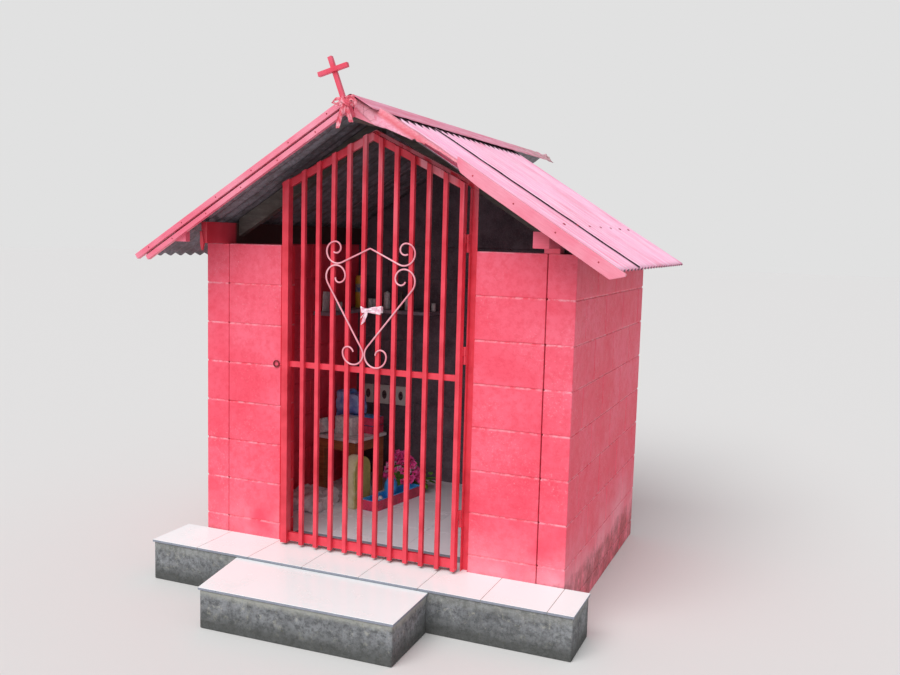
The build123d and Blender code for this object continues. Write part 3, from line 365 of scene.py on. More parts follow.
def flashing_paint():
    """Red paint flaking off a bent flashing: a pale chalky skirt, a roll with painted shade in deep red, and
    rust at its tears.
    """
    material, tree, coords = new_material("flaking_paint_on_flashing")
    fold = place(0, 0, SHEET_UNDER + 9)
    over = add(tree, "plus", add(tree, "times", add(tree, "x", coords), SLOPE), add(tree, "z", coords))
    edge = add(tree, "plus", over, add(tree, "times", add(tree, "noise", coords, 1000 / 90, 4.0, 0.7), 0.02))
    level = fold.z + fold.x * SLOPE + 0.01
    crease = add(tree, "range", edge, level - 0.012, level + 0.004)
    above = add(tree, "range", edge, level + 0.006, level + 0.03, 1.0, 0.0)
    flakes = add(tree, "range", add(tree, "noise", coords, 1000 / 14, 6.0, 0.8), 0.42, 0.6)
    skirt = add(tree, "mix", flakes, "#fbb4cb", "#f392ab")
    roll = add(tree, "mix", flakes, "#ef8296", "#f8a8b6")
    colour = add(tree, "mix", crease, skirt, roll)
    # Deep red on the roll's lower side is painted shade
    colour = add(tree, "mix", add(tree, "times", add(tree, "times", crease, above), 0.75), colour, "#d9505f")
    start = add(tree, "range", add(tree, "x", coords), place(90, 0, 0).x, place(125, 0, 0).x, 1.0, 0.0)
    colour = add(tree, "mix", add(tree, "times", start, 0.6), colour, "#f7a9b8")
    warped = add(tree, "moved", add(tree, "colour noise", coords, 1000 / 40), (0.03, 0.03, 0.03), coords)
    cracks = add(tree, "cell edges", warped, 1000 / 52)
    cracked = add(tree, "times", add(tree, "range", cracks, 0.0, 0.03, 0.7, 0.0), start)
    colour = add(tree, "mix", cracked, colour, "#7c2a3a")
    rust = add(tree, "range", add(tree, "noise", coords, 1000 / 18, 6.0, 0.8), 0.66, 0.71, 0.0, 0.9)
    colour = add(tree, "mix", rust, colour, "#7a3a2a")
    roughness = add(tree, "range", rust, 0.0, 1.0, 0.45, 0.85)
    relief = add(tree, "plus", flakes, add(tree, "noise", coords, 1000 / 12, 5.0))
    return surface(material, colour, roughness, relief, 1.5, 0.6)


def galvanised():
    """Weathered hot-dip zinc on the sheets' underside: dark slate spangle, dull, with brown water stains."""
    material, tree, coords = new_material("galvanised_sheet_dull")
    spangle = add(tree, "red", add(tree, "cell colours", coords, 1000 / 14))
    colour = add(tree, "mix", spangle, "#67646b", "#86828b")
    stain = add(tree, "noise", add(tree, "stretch", coords, (0.2, 1.0, 1.0)), 1000 / 70, 5.0, 0.7)
    colour = add(tree, "mix", add(tree, "range", stain, 0.46, 0.7, 0.0, 0.8), colour, "#4a3f3c")
    roughness = add(tree, "range", spangle, 0.0, 1.0, 0.5, 0.7)
    return surface(material, colour, roughness, spangle, 0.2, 0.3, metallic=0.35)


def bare_wood():
    """Unpainted sawn timber under a roof: grey-brown, open grain along the piece."""
    material, tree, coords = new_material("sawn_timber_weathered")
    rings = add(tree, "noise", add(tree, "stretch", coords, (0.12, 1.0, 0.5)), 1000 / 9, 6.0, 0.7)
    colour = add(tree, "mix", add(tree, "range", rings, 0.3, 0.7), "#4b4441", "#77706c")
    stain = add(tree, "range", add(tree, "noise", coords, 1000 / 160, 4.0), 0.4, 0.7, 0.0, 0.7)
    colour = add(tree, "mix", stain, colour, "#3c322c")
    return surface(material, colour, 0.75, rings, 1.2, 0.6)


def glazed_tile(name, base, dirt):
    """Glazed ceramic tile: smooth and shiny, slightly uneven, with foot dirt in faint patches."""
    material, tree, coords = new_material(name)
    patches = add(tree, "range", add(tree, "noise", coords, 1000 / 150, 5.0, 0.65), 0.52, 0.76, 0.0, 0.45)
    colour = add(tree, "mix", patches, base, dirt)
    dust = add(tree, "range", add(tree, "noise", coords, 1000 / 5, 4.0, 0.8), 0.68, 0.74, 0.0, 0.3)
    colour = add(tree, "mix", dust, colour, "#9a9288")
    roughness = add(tree, "range", patches, 0.0, 0.5, 0.2, 0.45)
    relief = add(tree, "noise", coords, 1000 / 90, 2.0)
    return surface(material, colour, roughness, relief, 0.4, 0.25, specular=0.3)


def blue_grey_shade():
    """The unglazed edge of a tile: blue-grey and matt, as painted shade on the edge."""
    material, tree, coords = new_material("blue_grey_painted_shade")
    colour = add(tree, "mix", add(tree, "noise", coords, 1000 / 14, 5.0, 0.7), "#6f7482", "#a5a9b4")
    relief = add(tree, "noise", coords, 1000 / 4, 4.0)
    return surface(material, colour, 0.8, relief, 0.5, 0.5, specular=0.3)


def cast_concrete():
    """Old cast concrete: grey, gritty and pitted, limed under the tiles, and black with damp below."""
    material, tree, coords = new_material("cast_concrete_weathered")
    clouds = add(tree, "range", add(tree, "noise", coords, 1000 / 110, 6.0, 0.75), 0.3, 0.7)
    colour = add(tree, "mix", clouds, "#6a6c6e", "#9c9fa2")
    blotch = add(tree, "range", add(tree, "noise", coords, 1000 / 26, 6.0, 0.8), 0.45, 0.6, 0.0, 0.75)
    colour = add(tree, "mix", blotch, colour, "#494b4c")
    lime = add(tree, "range", add(tree, "noise", coords, 1000 / 34, 6.0, 0.8), 0.56, 0.66, 0.0, 0.6)
    colour = add(tree, "mix", lime, colour, "#b4b3a6")
    edge = add(tree, "times", add(tree, "noise", coords, 1000 / 60, 6.0, 0.8), 0.06)
    level = add(tree, "minus", add(tree, "z", coords), edge)
    limed = add(tree, "range", level, TILE_TOP - 0.09, TILE_TOP - 0.065, 0.0, 0.75)
    porch_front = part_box("porch_slab")[0].y
    landing = add(tree, "range", add(tree, "y", coords), porch_front - 0.002, porch_front - 0.001, 1.0, 0.35)
    limed = add(tree, "times", limed, landing)
    colour = add(tree, "mix", limed, colour, "#b2b3aa")
    damp = add(tree, "range", level, 0.0, 0.075, 0.8, 0.0)
    black = add(tree, "mix", add(tree, "noise", coords, 1000 / 12, 5.0, 0.8), "#313231", "#5b5c58")
    colour = add(tree, "mix", damp, colour, black)
    moss = add(tree, "range", add(tree, "noise", coords, 1000 / 22, 6.0, 0.75), 0.62, 0.7, 0.0, 0.55)
    colour = add(tree, "mix", moss, colour, "#66694c")
    grit = add(tree, "noise", coords, 1000 / 8, 6.0, 0.8)
    relief = add(tree, "plus", grit, add(tree, "times", clouds, 0.6))
    return surface(material, colour, 0.85, relief, 4.5, 0.9, specular=0.3)


def grout():
    """Cement grout between tiles: matt, gritty and grey with dirt."""
    material, tree, coords = new_material("cement_grout")
    colour = add(tree, "mix", add(tree, "noise", coords, 1000 / 12, 4.0), "#8f8c86", "#b5b2ab")
    relief = add(tree, "noise", coords, 1000 / 2, 3.0)
    return surface(material, colour, 0.9, relief, 0.4, 0.5)


def cloth(name, base, shade, thread_mm):
    """Plain woven cotton: matt, soft, with its threads drawn wide enough to show."""
    material, tree, coords = new_material(name)
    scale = 1000 / thread_mm / math.tau
    warp, weft = (add(tree, "threads", coords, scale, bands_direction=axis) for axis in ("X", "Z"))
    weave = add(tree, "times", warp, weft)
    worn = add(tree, "range", add(tree, "noise", coords, 1000 / 18, 4.0), 0.42, 0.62)
    colour = add(tree, "mix", worn, base, shade)
    return surface(material, colour, 0.85, weave, 0.3, 0.5, sheen=0.25)


def smooth_finish(name, base, shade, roughness, size_mm):
    """A smooth moulded, varnished or printed surface: its colour shifts a little and its shine is uneven."""
    material, tree, coords = new_material(name)
    clouds = add(tree, "range", add(tree, "noise", coords, 1000 / size_mm, 4.0), 0.36, 0.66)
    colour = add(tree, "mix", clouds, base, shade)
    roughness = add(tree, "range", clouds, 0.0, 1.0, roughness * 0.8, roughness * 1.25)
    relief = add(tree, "noise", coords, 4000 / size_mm, 3.0)
    return surface(material, colour, roughness, relief, 0.2, 0.3)


def wax_in_glass():
    """Yellow candle wax in a clear glass jar with a blue paper band: glossy over a soft colour."""
    material, tree, coords = new_material("wax_in_glass")
    shelf_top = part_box("shelf")[1].z
    height = add(tree, "minus", add(tree, "z", coords), shelf_top)
    wax = add(tree, "mix", add(tree, "noise", coords, 1000 / 30, 4.0), "#c99a2e", "#e0bb52")
    above = add(tree, "range", height, 0.094, 0.098)
    band = add(tree, "times", above, add(tree, "range", height, 0.146, 0.15, 1.0, 0.0))
    printed = add(tree, "range", add(tree, "noise", coords, 1000 / 12, 4.0), 0.4, 0.6)
    paper = add(tree, "mix", printed, "#4f6f9e", "#a9a68c")
    colour = add(tree, "mix", band, wax, paper)
    relief = add(tree, "noise", coords, 1000 / 20, 3.0)
    return surface(material, colour, 0.15, relief, 0.2, 0.3)


def varnished_wood():
    """Red-brown varnished softwood: a warm gloss over grain drawn out along the board."""
    material, tree, coords = new_material("varnished_softwood")
    rings = add(tree, "noise", add(tree, "stretch", coords, (0.12, 0.12, 1.0)), 1000 / 9, 6.0, 0.7)
    colour = add(tree, "mix", add(tree, "range", rings, 0.3, 0.7), "#84492f", "#b97a52")
    return surface(material, colour, 0.35, rings, 0.5, 0.5)


def painted_slab():
    """A cement slab under cream limewash: pale on its left, and olive at its right as painted shade of its
    side.
    """
    material, tree, coords = new_material("limewash_on_cement")
    low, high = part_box("round_topped_slab")
    edge = add(tree, "times", add(tree, "noise", coords, 1000 / 60, 5.0, 0.7), 0.05)
    across = add(tree, "plus", add(tree, "x", coords), edge)
    middle = low.x + (high.x - low.x) * 0.72 + 0.025
    # The right part is painted olive: painted shade on the slab's side
    side = add(tree, "range", across, middle - 0.01, middle + 0.012)
    wash = add(tree, "range", add(tree, "noise", coords, 1000 / 50, 5.0, 0.7), 0.35, 0.65)
    pale = add(tree, "mix", wash, "#d8d0a6", "#e9e2c2")
    painted_shade_olive = add(tree, "mix", wash, "#a39c55", "#bfb56c")
    colour = add(tree, "mix", side, pale, painted_shade_olive)
    relief = add(tree, "noise", coords, 1000 / 9, 5.0, 0.7)
    return surface(material, colour, 0.75, relief, 1.2, 0.6)


# Smooth finishes: the name, the two colours, the roughness and the size of the clouds in millimetres
SMOOTH = {
    "nails": ("painted_nail_head", "#c93a4c", "#7c2430", 0.4, 6),
    "pale_grout": ("cement_grout_pale", "#c3bac8", "#d2c9d6", 0.85, 20),
    "shelf": ("painted_board_grey", "#a59ca8", "#7d7380", 0.5, 60),
    "white_goods": ("printed_card_white", "#f0eeee", "#c9c7cc", 0.4, 14),
    "dark_goods": ("moulded_glass_brown", "#4a3a36", "#6b5a55", 0.2, 14),
    "laminate": ("laminate_white", "#e6e0e2", "#c2b9bc", 0.3, 60),
    "tray_blue": ("moulded_plastic_blue", "#4fb0ee", "#348fd8", 0.3, 40),
    "tray_red": ("moulded_plastic_red", "#e6456a", "#b92c50", 0.3, 40),
    "film": ("plastic_film_printed", "#a9c2f2", "#2461c6", 0.25, 60),
    "clear_film": ("plastic_film_clear", "#eee6ea", "#c7b9c1", 0.25, 24),
    "medallion": ("fired_oval_dark", "#3a3236", "#6a5c5f", 0.3, 10),
    "petal": ("dyed_petal_cloth", "#e81f86", "#fa6fb6", 0.7, 12),
    "pale_petal": ("bleached_petal_cloth", "#f3d6e4", "#e79cc4", 0.7, 12),
    "leaf": ("dyed_leaf_cloth", "#3f7d2a", "#7fae45", 0.6, 16),
}
MATERIALS = {}


def wood_finishes(colours):
    """Return the makers of gloss paint on wood, whose grain runs along each board."""
    level = (0.0, 0.0, 0.0)
    left = (0.0, ROOF_ANGLE, 0.0)
    right = (0.0, -ROOF_ANGLE, 0.0)
    lean = (0.0, math.pi / 2 + math.radians(21), 0.0)
    red, pale, verge = colours.gloss_red, colours.gloss_pale, colours.barge_pale
    return {
        "timber": lambda: painted_wood("gloss_on_timber", colours, level, red, pale),
        # The left wall plate gets a deeper red: painted shade from the eave over it
        "plank": lambda: painted_wood("gloss_on_plank_in_shade", colours, level, "#b8303f", "#cc4658"),
        "cross": lambda: painted_wood("gloss_on_cross", colours, lean, red, pale),
        "barge_left": lambda: painted_wood("gloss_on_left_verge", colours, left, pale, verge),
        "barge_right": lambda: painted_wood("gloss_on_right_verge", colours, right, pale, verge),
    }


def steel_finishes(colours):
    """Return the makers of enamel on steel, each with the heights in metres between which its rust ends."""
    red, deep = colours.gate_red, colours.gate_deep
    pink, worn = colours.scroll_pink, colours.scroll_deep
    return {
        "gate": lambda: gloss_steel("gloss_on_gate_steel", red, deep, 0.2, 0.5),
        "door_frame": lambda: gloss_steel("gloss_on_angle_iron", red, deep, 0.2, 0.6),
        "scroll": lambda: gloss_steel("faded_enamel_on_rod", pink, worn, 0.0, 0.1),
        "latch": lambda: gloss_steel("worn_enamel_on_ring", "#8d1f2c", "#4f1a20", 0.5, 2.0),
    }


def finish(name):
    """Return one of the shrine's materials, made on first use from the colours in the sidebar."""
    if name not in MATERIALS:
        colours = bpy.context.scene.shrine_colours
        makers = {
            **wood_finishes(colours),
            **steel_finishes(colours),
            "walls": lambda: masonry_paint(colours),
            "roof": lambda: roof_paint(colours),
            "cap": lambda: cap_paint(colours),
            "flashing": flashing_paint,
            "zinc": galvanised,
            "bare_wood": bare_wood,
            "porch_tile": lambda: glazed_tile("glazed_tile_white", "#f8fefe", "#ebedeb"),
            "floor_tile": lambda: glazed_tile("glazed_tile_grey", "#fbf8ff", "#eee6f2"),
            "tablet": lambda: glazed_tile("glazed_tablet", "#d9d9d6", "#a9a8a4"),
            "blue_grey_shade": blue_grey_shade,
            "concrete": cast_concrete,
            "grout": grout,
            "ribbon": lambda: cloth("cotton_ribbon", "#fae6ee", "#e8a4ba", 1.2),
            "rag": lambda: cloth("painted_rag", "#dd5468", "#f3a6b3", 1.6),
            "candle": wax_in_glass,
            "varnish": varnished_wood,
            "slab": painted_slab,
        }
        MATERIALS[name] = smooth_finish(*SMOOTH[name]) if name in SMOOTH else makers[name]()
    return MATERIALS[name]


# How pieces are finished: flat faces stay flat beside rounded edges, and sheet metal has its zinc side below
HARD = [("WEIGHTED_NORMAL", {"keep_sharp": True})]
SHEET_METAL = [("SOLIDIFY", {"thickness": 0.0009, "offset": 0.0, "material_offset": 1})]

# Points nearer than this, in metres, are made one
MERGE = 0.00002
ORIGIN = (0.0, 0.0, 0.0)


def as_piece(name, mesh, finishes, body, smooth_angle=35.0, modifiers=()):
    """Turn a bmesh into a finished piece that rides on a body."""
    data = bpy.data.meshes.new(name)
    mesh.to_mesh(data)
    mesh.free()
    piece = bpy.data.objects.new(name, data)
    bpy.context.scene.collection.objects.link(piece)
    for each in finishes if isinstance(finishes, tuple) else (finishes,):
        data.materials.append(finish(each))
    data.shade_smooth()
    data.set_sharp_from_angle(angle=math.radians(smooth_angle))
    for kind, settings in modifiers:
        modifier = piece.modifiers.new(kind.title(), kind)
        for key, value in settings.items():
            setattr(modifier, key, value)
    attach(piece, body)
    return piece


def rounded(mesh, edges, size, segments):
    """Bevel edges, and return what the operator made."""
    return bmesh.ops.bevel(mesh, geom=edges, offset=size, segments=segments, profile=0.5, affect="EDGES",
                           material=-1, clamp_overlap=True)


def painted(verts, material):
    """Give the faces round some vertices one of a piece's finishes."""
    for face in {face for vert in verts for face in vert.link_faces}:
        face.material_index = material


def add_block(mesh, low, high, bevel=0.0, segments=2, turn=None, centre=None, material=0):
    """Add a box between two corners, its edges bevelled, and turned about a centre where one is given."""
    made = bmesh.ops.create_cube(mesh, size=1.0)["verts"]
    low, high = Vector(low), Vector(high)
    bmesh.ops.scale(mesh, vec=high - low, verts=made)
    bmesh.ops.translate(mesh, vec=(low + high) / 2, verts=made)
    if bevel:
        edges = list({edge for vert in made for edge in vert.link_edges})
        faces = rounded(mesh, edges, bevel, segments)["faces"]
        kept = {vert for vert in made if vert.is_valid}
        made = list({vert for face in faces for vert in face.verts} | kept)
    if turn is not None:
        bmesh.ops.rotate(mesh, cent=Vector(centre), matrix=turn, verts=made)
    if material:
        painted(made, material)
    return made


def add_cone(mesh, foot, top, depth, segments, closed=True):
    """Add a rod or cone about the origin by its two radii, and return its vertices."""
    return bmesh.ops.create_cone(mesh, cap_ends=closed, segments=segments, radius1=foot, radius2=top,
                                 depth=depth)["verts"]


def put(mesh, verts, turn, spot):
    """Turn vertices about the origin, and carry them to their place."""
    bmesh.ops.rotate(mesh, cent=ORIGIN, matrix=turn, verts=verts)
    bmesh.ops.translate(mesh, vec=spot, verts=verts)


def face_up(mesh):
    """Point the faces of an open sheet upwards."""
    bmesh.ops.recalc_face_normals(mesh, faces=mesh.faces)
    if sum(face.normal.z for face in mesh.faces) < 0:
        bmesh.ops.reverse_faces(mesh, faces=mesh.faces)


def dressed(node, finishes, bevel_mm, segments=2, pick=None):
    """Copy a CAD node, merge it, soften its edges and let the copy stand for it."""
    mesh = bmesh.new()
    mesh.from_mesh(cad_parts[node].data)
    bmesh.ops.remove_doubles(mesh, verts=mesh.verts, dist=MERGE)
    bmesh.ops.dissolve_limit(mesh, angle_limit=math.radians(1.0), verts=mesh.verts, edges=mesh.edges)
    sharp = math.radians(30)
    edges = [edge for edge in mesh.edges if edge.calc_face_angle(0) > sharp]
    rounded(mesh, edges, bevel_mm / 1000, segments)
    for face in mesh.faces if pick else ():
        face.material_index = pick(face)
    body = GATE if node.startswith("gate_") else FIXED
    piece = as_piece(node + "_dressed", mesh, finishes, body, modifiers=HARD)
    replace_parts(piece, node)
    return piece


def tile_side(face):
    """Return 1 for the unglazed side of a tile."""
    return 1 if face.normal.z < 0.3 else 0


def block_wall(node, bonds, axis):
    """Lay a wall's blocks course by course over its core, with the joints struck a little below the face."""
    sizes = bpy.context.scene.shrine_sizes
    low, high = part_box(node)
    shuffle = random.Random(node)
    gap = sizes.joint_width / 2
    mesh = bmesh.new()
    recess = Vector((sizes.joint_depth,) * 3)
    add_block(mesh, low + recess, high - recess)
    count = round((high.z - low.z) / COURSE)
    inner = [BED_START + COURSE * number for number in range(count + 1)]
    levels = [low.z] + [level for level in inner if low.z + 0.02 < level < high.z - 0.02] + [high.z]
    for number, (base, top) in enumerate(zip(levels, levels[1:])):
        start = bonds[number % len(bonds)]
        stops = [low[axis]]
        while start < high[axis] - low[axis] - 0.05:
            if start > 0.05:
                stops.append(low[axis] + start)
            start += sizes.block_length
        stops.append(high[axis])
        for near, far in zip(stops, stops[1:]):
            corner, other = low.copy(), high.copy()
            corner.z = base + (gap if base > low.z else 0)
            other.z = top - (gap if top < high.z else 0)
            corner[axis] = near + gap
            other[axis] = far - gap
            inset = Vector([shuffle.uniform(0, 0.0012) for _ in range(3)])
            add_block(mesh, corner + inset, other - inset, sizes.joint_round, 3)
    piece = as_piece(node + "_blocks", mesh, "walls", FIXED, modifiers=HARD)
    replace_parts(piece, node)


def porch_tiles(joints):
    """Lay the porch's row of tiles on grout, between the given joints."""
    low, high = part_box("porch_tiles")
    mesh = bmesh.new()
    gap = 0.003
    grout_top = high.z - 0.0012
    add_block(mesh, (low.x + gap, low.y + gap, low.z), (high.x - gap, high.y - gap, grout_top), material=1)
    xs = [low.x] + [x for x in joints if low.x + 0.03 < x < high.x - 0.03] + [high.x]
    for x0, x1 in zip(xs, xs[1:]):
        corner = (x0 + (gap / 2 if x0 > low.x else 0), low.y, low.z)
        other = (x1 - (gap / 2 if x1 < high.x else 0), high.y, high.z)
        made = add_block(mesh, corner, other, 0.0012, 2)
        for face in {face for vert in made for face in vert.link_faces if tile_side(face)}:
            face.material_index = 2
    finishes = ("porch_tile", "grout", "blue_grey_shade")
    piece = as_piece("porch_tile_row", mesh, finishes, FIXED, modifiers=HARD)
    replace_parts(piece, "porch_tiles")


def room_tiles(pitch):
    """Lay the room's tiles, and in the doorway a row of them and a blue-grey strip of painted shadow, on
    their grout.
    """
    low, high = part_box("floor_tiles")
    sill_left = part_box("front_wall_left")[1].x
    sill_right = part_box("front_wall_right")[0].x
    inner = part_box("front_wall_left")[1].y
    mesh = bmesh.new()
    gap = 0.002
    strip = place(0, 96, 0).y
    add_block(mesh, (low.x, inner, low.z), (high.x, high.y, high.z - 0.001), material=1)
    add_block(mesh, (sill_left, low.y, low.z), (sill_right, inner, high.z - 0.001), material=1)
    # A blue-grey strip behind the gate's bottom rail: painted shadow
    add_block(mesh, (sill_left, strip, low.z), (sill_right, inner + 0.04, high.z - 0.0004), material=2)
    fields = ((low.x, high.x, inner + 0.041, high.y), (sill_left, sill_right, low.y, strip - 0.001))
    for x0, x1, y0, y1 in fields:
        across = range(math.ceil((x1 - x0) / pitch))
        along = range(math.ceil((y1 - y0) / pitch))
        for x, y in [(x0 + pitch * column, y0 + pitch * row) for column in across for row in along]:
            other = (min(x + pitch, x1) - gap / 2, min(y + pitch, y1) - gap / 2, high.z)
            add_block(mesh, (x + gap / 2, y + gap / 2, low.z), other, 0.0008, 2)
    for x0, x1 in ((low.x, sill_left), (sill_right, high.x)):
        add_block(mesh, (x0, inner, low.z), (x1, inner + 0.0405, high.z), 0.0008, 2)
    finishes = ("floor_tile", "pale_grout", "blue_grey_shade")
    piece = as_piece("room_tiles", mesh, finishes, FIXED, modifiers=HARD)
    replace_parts(piece, "floor_tiles")


def roof_point(side, run, y, lift):
    """Return a point on a slope from its run down it, its place along the roof and its height over it."""
    x = SHEET_START_X + run * math.cos(ROOF_ANGLE) + lift * math.sin(ROOF_ANGLE)
    start = SHEET_UNDER - SLOPE * SHEET_START_X
    z = start - run * math.sin(ROOF_ANGLE) + lift * math.cos(ROOF_ANGLE)
    return place(side * x, y, z)


def corrugated_sheet(side, number):
    """Form one corrugated sheet from a flat grid, with soft dents and a lifted edge at its lap."""
    width = RIPPLES * RIPPLE_PITCH
    run = (EAVE_X - SHEET_START_X) / math.cos(ROOF_ANGLE)
    start = SHEET_FRONT + number * SHEET_STEP
    over = number % 2
    front = start - over * RIPPLE_PITCH / 4
    mesh = bmesh.new()
    crest = mesh.verts.layers.float.new("crest")
    painted_lap_shadow = mesh.verts.layers.float.new("lap")
    bmesh.ops.create_grid(mesh, x_segments=40, y_segments=int(RIPPLES * 12), size=0.5)
    for vert in mesh.verts:
        along = (vert.co.x + 0.5) * run
        y = front + (vert.co.y + 0.5) * (start + width - front)
        wave = RIPPLE_DEPTH / 2 - RIPPLE_DEPTH / 2 * math.sin(math.pi * (y - start) * 2 / RIPPLE_PITCH)
        dent = 1.2 * noise.noise(Vector((along / 170, y / 170, 7.0 * side + number)))
        edge = max(0.0, 1.0 - (y - front) / 26) if over else 0.0
        flutter = 3.5 + 2.0 * noise.noise(Vector((along / 90, 3.0, side)))
        lift = wave + 0.5 + 1.3 * over + edge * flutter + (dent if wave > 8 else max(dent, 0.0)) * (1 - edge)
        vert[crest] = wave / RIPPLE_DEPTH
        # Marks a band on the first sheet just before the next sheet's edge, for a painted shadow of the lap
        vert[painted_lap_shadow] = 1.0 if number == 0 and -27 < y - SHEET_FRONT - SHEET_STEP < -18 else 0.0
        vert.co = roof_point(side, along, y, max(lift, 0.6))
    face_up(mesh)
    hand = "right" if side > 0 else "left"
    piece = as_piece(f"roof_sheet_{hand}_{number + 1}", mesh, ("roof", "zinc"), FIXED, 60, SHEET_METAL)
    return piece


def cap_point(x, y):
    """Return a point on the ridge cap, which lifts a little toward its tail."""
    half = CAP_ROLL * math.sin(ROOF_ANGLE)
    apex = CAP_UNDER + 0.6
    level = apex - SLOPE * abs(x)
    if abs(x) < half:
        level = apex - CAP_ROLL / math.cos(ROOF_ANGLE) + math.sqrt(CAP_ROLL ** 2 - x ** 2)
    return Vector((x, y, level + (y - CAP_FRONT) * math.tan(CAP_RISE)))


def ridge_cap():
    """Fold the ridge cap from a flat strip: two wavy flanges, a roll, and a crumpled tail cut aslant."""
    roll = (2.8, 5.6, 8.4, 16, 30)
    left = (*roll, -BATTEN_START, 70, 92, CAP_REACH)
    right = (*roll, 50, 70, 92, CAP_REACH)
    columns = [-x for x in reversed(left)] + [0, *right]
    mesh = bmesh.new()
    bmesh.ops.create_grid(mesh, x_segments=len(columns) - 1, y_segments=124, size=0.5)
    for vert in mesh.verts:
        x = columns[round((vert.co.x + 0.5) * (len(columns) - 1))]
        y = CAP_FRONT + (vert.co.y + 0.5) * CAP_LENGTH
        if x > 0:
            y = min(y, CAP_FRONT + CAP_LENGTH - 1.66 * x)
        point = cap_point(x, y)
        flange = max(0.0, abs(x) / CAP_REACH - 0.3)
        wave = noise.noise(Vector((y / 95, 5.0 if x > 0 else 9.0, 0.0)))
        point.z += flange * (2.2 + 3.2 * wave)
        tail = min(1.0, max(0.0, (y - CAP_FREE_TAIL) / 400))
        crumple = noise.noise_vector(Vector((x / 55, y / 75, 2.0)))
        point += Vector((5 * crumple.x, 0.0, 15 * crumple.z - 9 * flange)) * tail
        vert.co = place(*point)
    notch = place(BATTEN_START, BATTEN_BACK, 0)
    middles = {face: face.calc_center_median() for face in mesh.faces}
    hidden = [face for face, middle in middles.items() if middle.y < notch.y and middle.x < notch.x]
    bmesh.ops.delete(mesh, geom=hidden, context="FACES")
    bmesh.ops.remove_doubles(mesh, verts=mesh.verts, dist=0.0001)
    face_up(mesh)
    piece = as_piece("ridge_cap_folded", mesh, ("cap", "zinc"), FIXED, 60, SHEET_METAL)
    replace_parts(piece, "ridge_cap")


def bent_flashing():
    """Copy the flashing finely divided, and beat it out of true so that it looks folded by hand."""
    mesh = bmesh.new()
    mesh.from_mesh(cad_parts["barge_flashing_right"].data)
    bmesh.ops.remove_doubles(mesh, verts=mesh.verts, dist=MERGE)
    for length in (0.12, 0.06, 0.03, 0.016):
        long = [edge for edge in mesh.edges if edge.calc_length() > length]
        bmesh.ops.subdivide_edges(mesh, edges=long, cuts=1)
        bmesh.ops.triangulate(mesh, faces=[face for face in mesh.faces if len(face.verts) > 4])
    low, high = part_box("barge_flashing_right")
    for vert in mesh.verts:
        free = min(1.0, (vert.co.x - low.x) / 0.08, (high.x - vert.co.x) / 0.03)
        dent = noise.noise_vector(vert.co * 14) * 0.0035 + noise.noise_vector(vert.co * 45) * 0.0012
        vert.co += Vector((0.0, max(dent.y, -0.001), dent.z)) * max(free, 0.0)
    piece = as_piece("barge_flashing_bent", mesh, "flashing", FIXED, 50)
    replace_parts(piece, "barge_flashing_right")


def nail_heads(mesh, points, normal, radius, height):
    """Add domed nail heads on a surface."""
    turn = Vector(normal).to_track_quat("Z", "Y").to_matrix()
    for point in points:
        made = add_cone(mesh, radius, radius * 0.55, height, 10)
        put(mesh, made, turn, Vector(point) + Vector(normal) * height / 2)


def roof_nails():
    """Drive a row of roofing nails through the crests over each wall plate."""
    mesh = bmesh.new()
    for side in (-1, 1):
        run = (NAIL_ROW_X - SHEET_START_X) / math.cos(ROOF_ANGLE)
        normal = Vector((side * math.sin(ROOF_ANGLE), 0, math.cos(ROOF_ANGLE)))
        for crest in range(1, 25, 3):
            y = SHEET_FRONT + (crest + 0.75) * RIPPLE_PITCH
            nail_heads(mesh, [roof_point(side, run, y, RIPPLE_DEPTH + 1.2)], normal, 0.009, 0.003)
    piece = as_piece("roofing_nails", mesh, "nails", FIXED)


def verge_nails():
    """Drive nails through the verge boards, under their paint."""
    spots = []
    for number in range(6):
        x = -130 - 195 * number
        spots.append((x, BATTEN_FACE, BATTEN_NAIL_Z + SLOPE * x))
        if number < 5:
            x -= 60
            spots.append((x, BATTEN_FACE + 6, BOARD_NAIL_Z + SLOPE * x))
    for number in range(4):
        x = 560 + 180 * number
        spots.append((x, BATTEN_FACE, BATTEN_NAIL_Z - SLOPE * x))
    mesh = bmesh.new()
    nail_heads(mesh, [place(*spot) for spot in spots], Vector((0, -1, 0)), 0.004, 0.0012)
    piece = as_piece("verge_nails", mesh, "nails", FIXED)


def smooth_path(points, share):
    """Return the point at a share of a smooth path through the points."""
    count = len(points) - 1
    place_on = min(share * count, count - 1e-6)
    first = int(place_on)
    t = place_on - first
    a, b, c, d = (points[min(max(first + step, 0), count)] for step in (-1, 0, 1, 2))
    bend = (2 * a - 5 * b + 4 * c - d) * t ** 2 + (3 * b - a - 3 * c + d) * t ** 3
    return 0.5 * (2 * b + (c - a) * t + bend)


def cloth_band(mesh, path, across, width, pleats=1.5, depth=2.0, steps=16):
    """Lay one band of cloth along a path in millimetres, pleated across its width."""
    points = [Vector(point) for point in path]
    sides = [Vector(side).normalized() for side in across]
    made = bmesh.ops.create_grid(mesh, x_segments=6, y_segments=steps, size=0.5)["verts"]
    for vert in made:
        across_share, share = vert.co.x, vert.co.y + 0.5
        side = smooth_path(sides, share).normalized()
        ahead = smooth_path(points, min(share + 0.02, 1.0)) - smooth_path(points, max(share - 0.02, 0.0))
        face = side.cross(ahead).normalized()
        wide = width[0] + (width[1] - width[0]) * share
        fold = depth * math.sin(across_share * math.tau * pleats + 5 * share)
        vert.co = place(*(smooth_path(points, share) + side * across_share * wide + face * fold))


def cloth_piece(name, node, mesh, material, body):
    """Finish a cloth piece that stands for a CAD node."""
    settings = {"thickness": 0.0012, "offset": 0.0}
    rounding = {"levels": 1, "render_levels": 1}
    piece = as_piece(name, mesh, material, body, 70, [("SUBSURF", rounding), ("SOLIDIFY", settings)])
    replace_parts(piece, node)


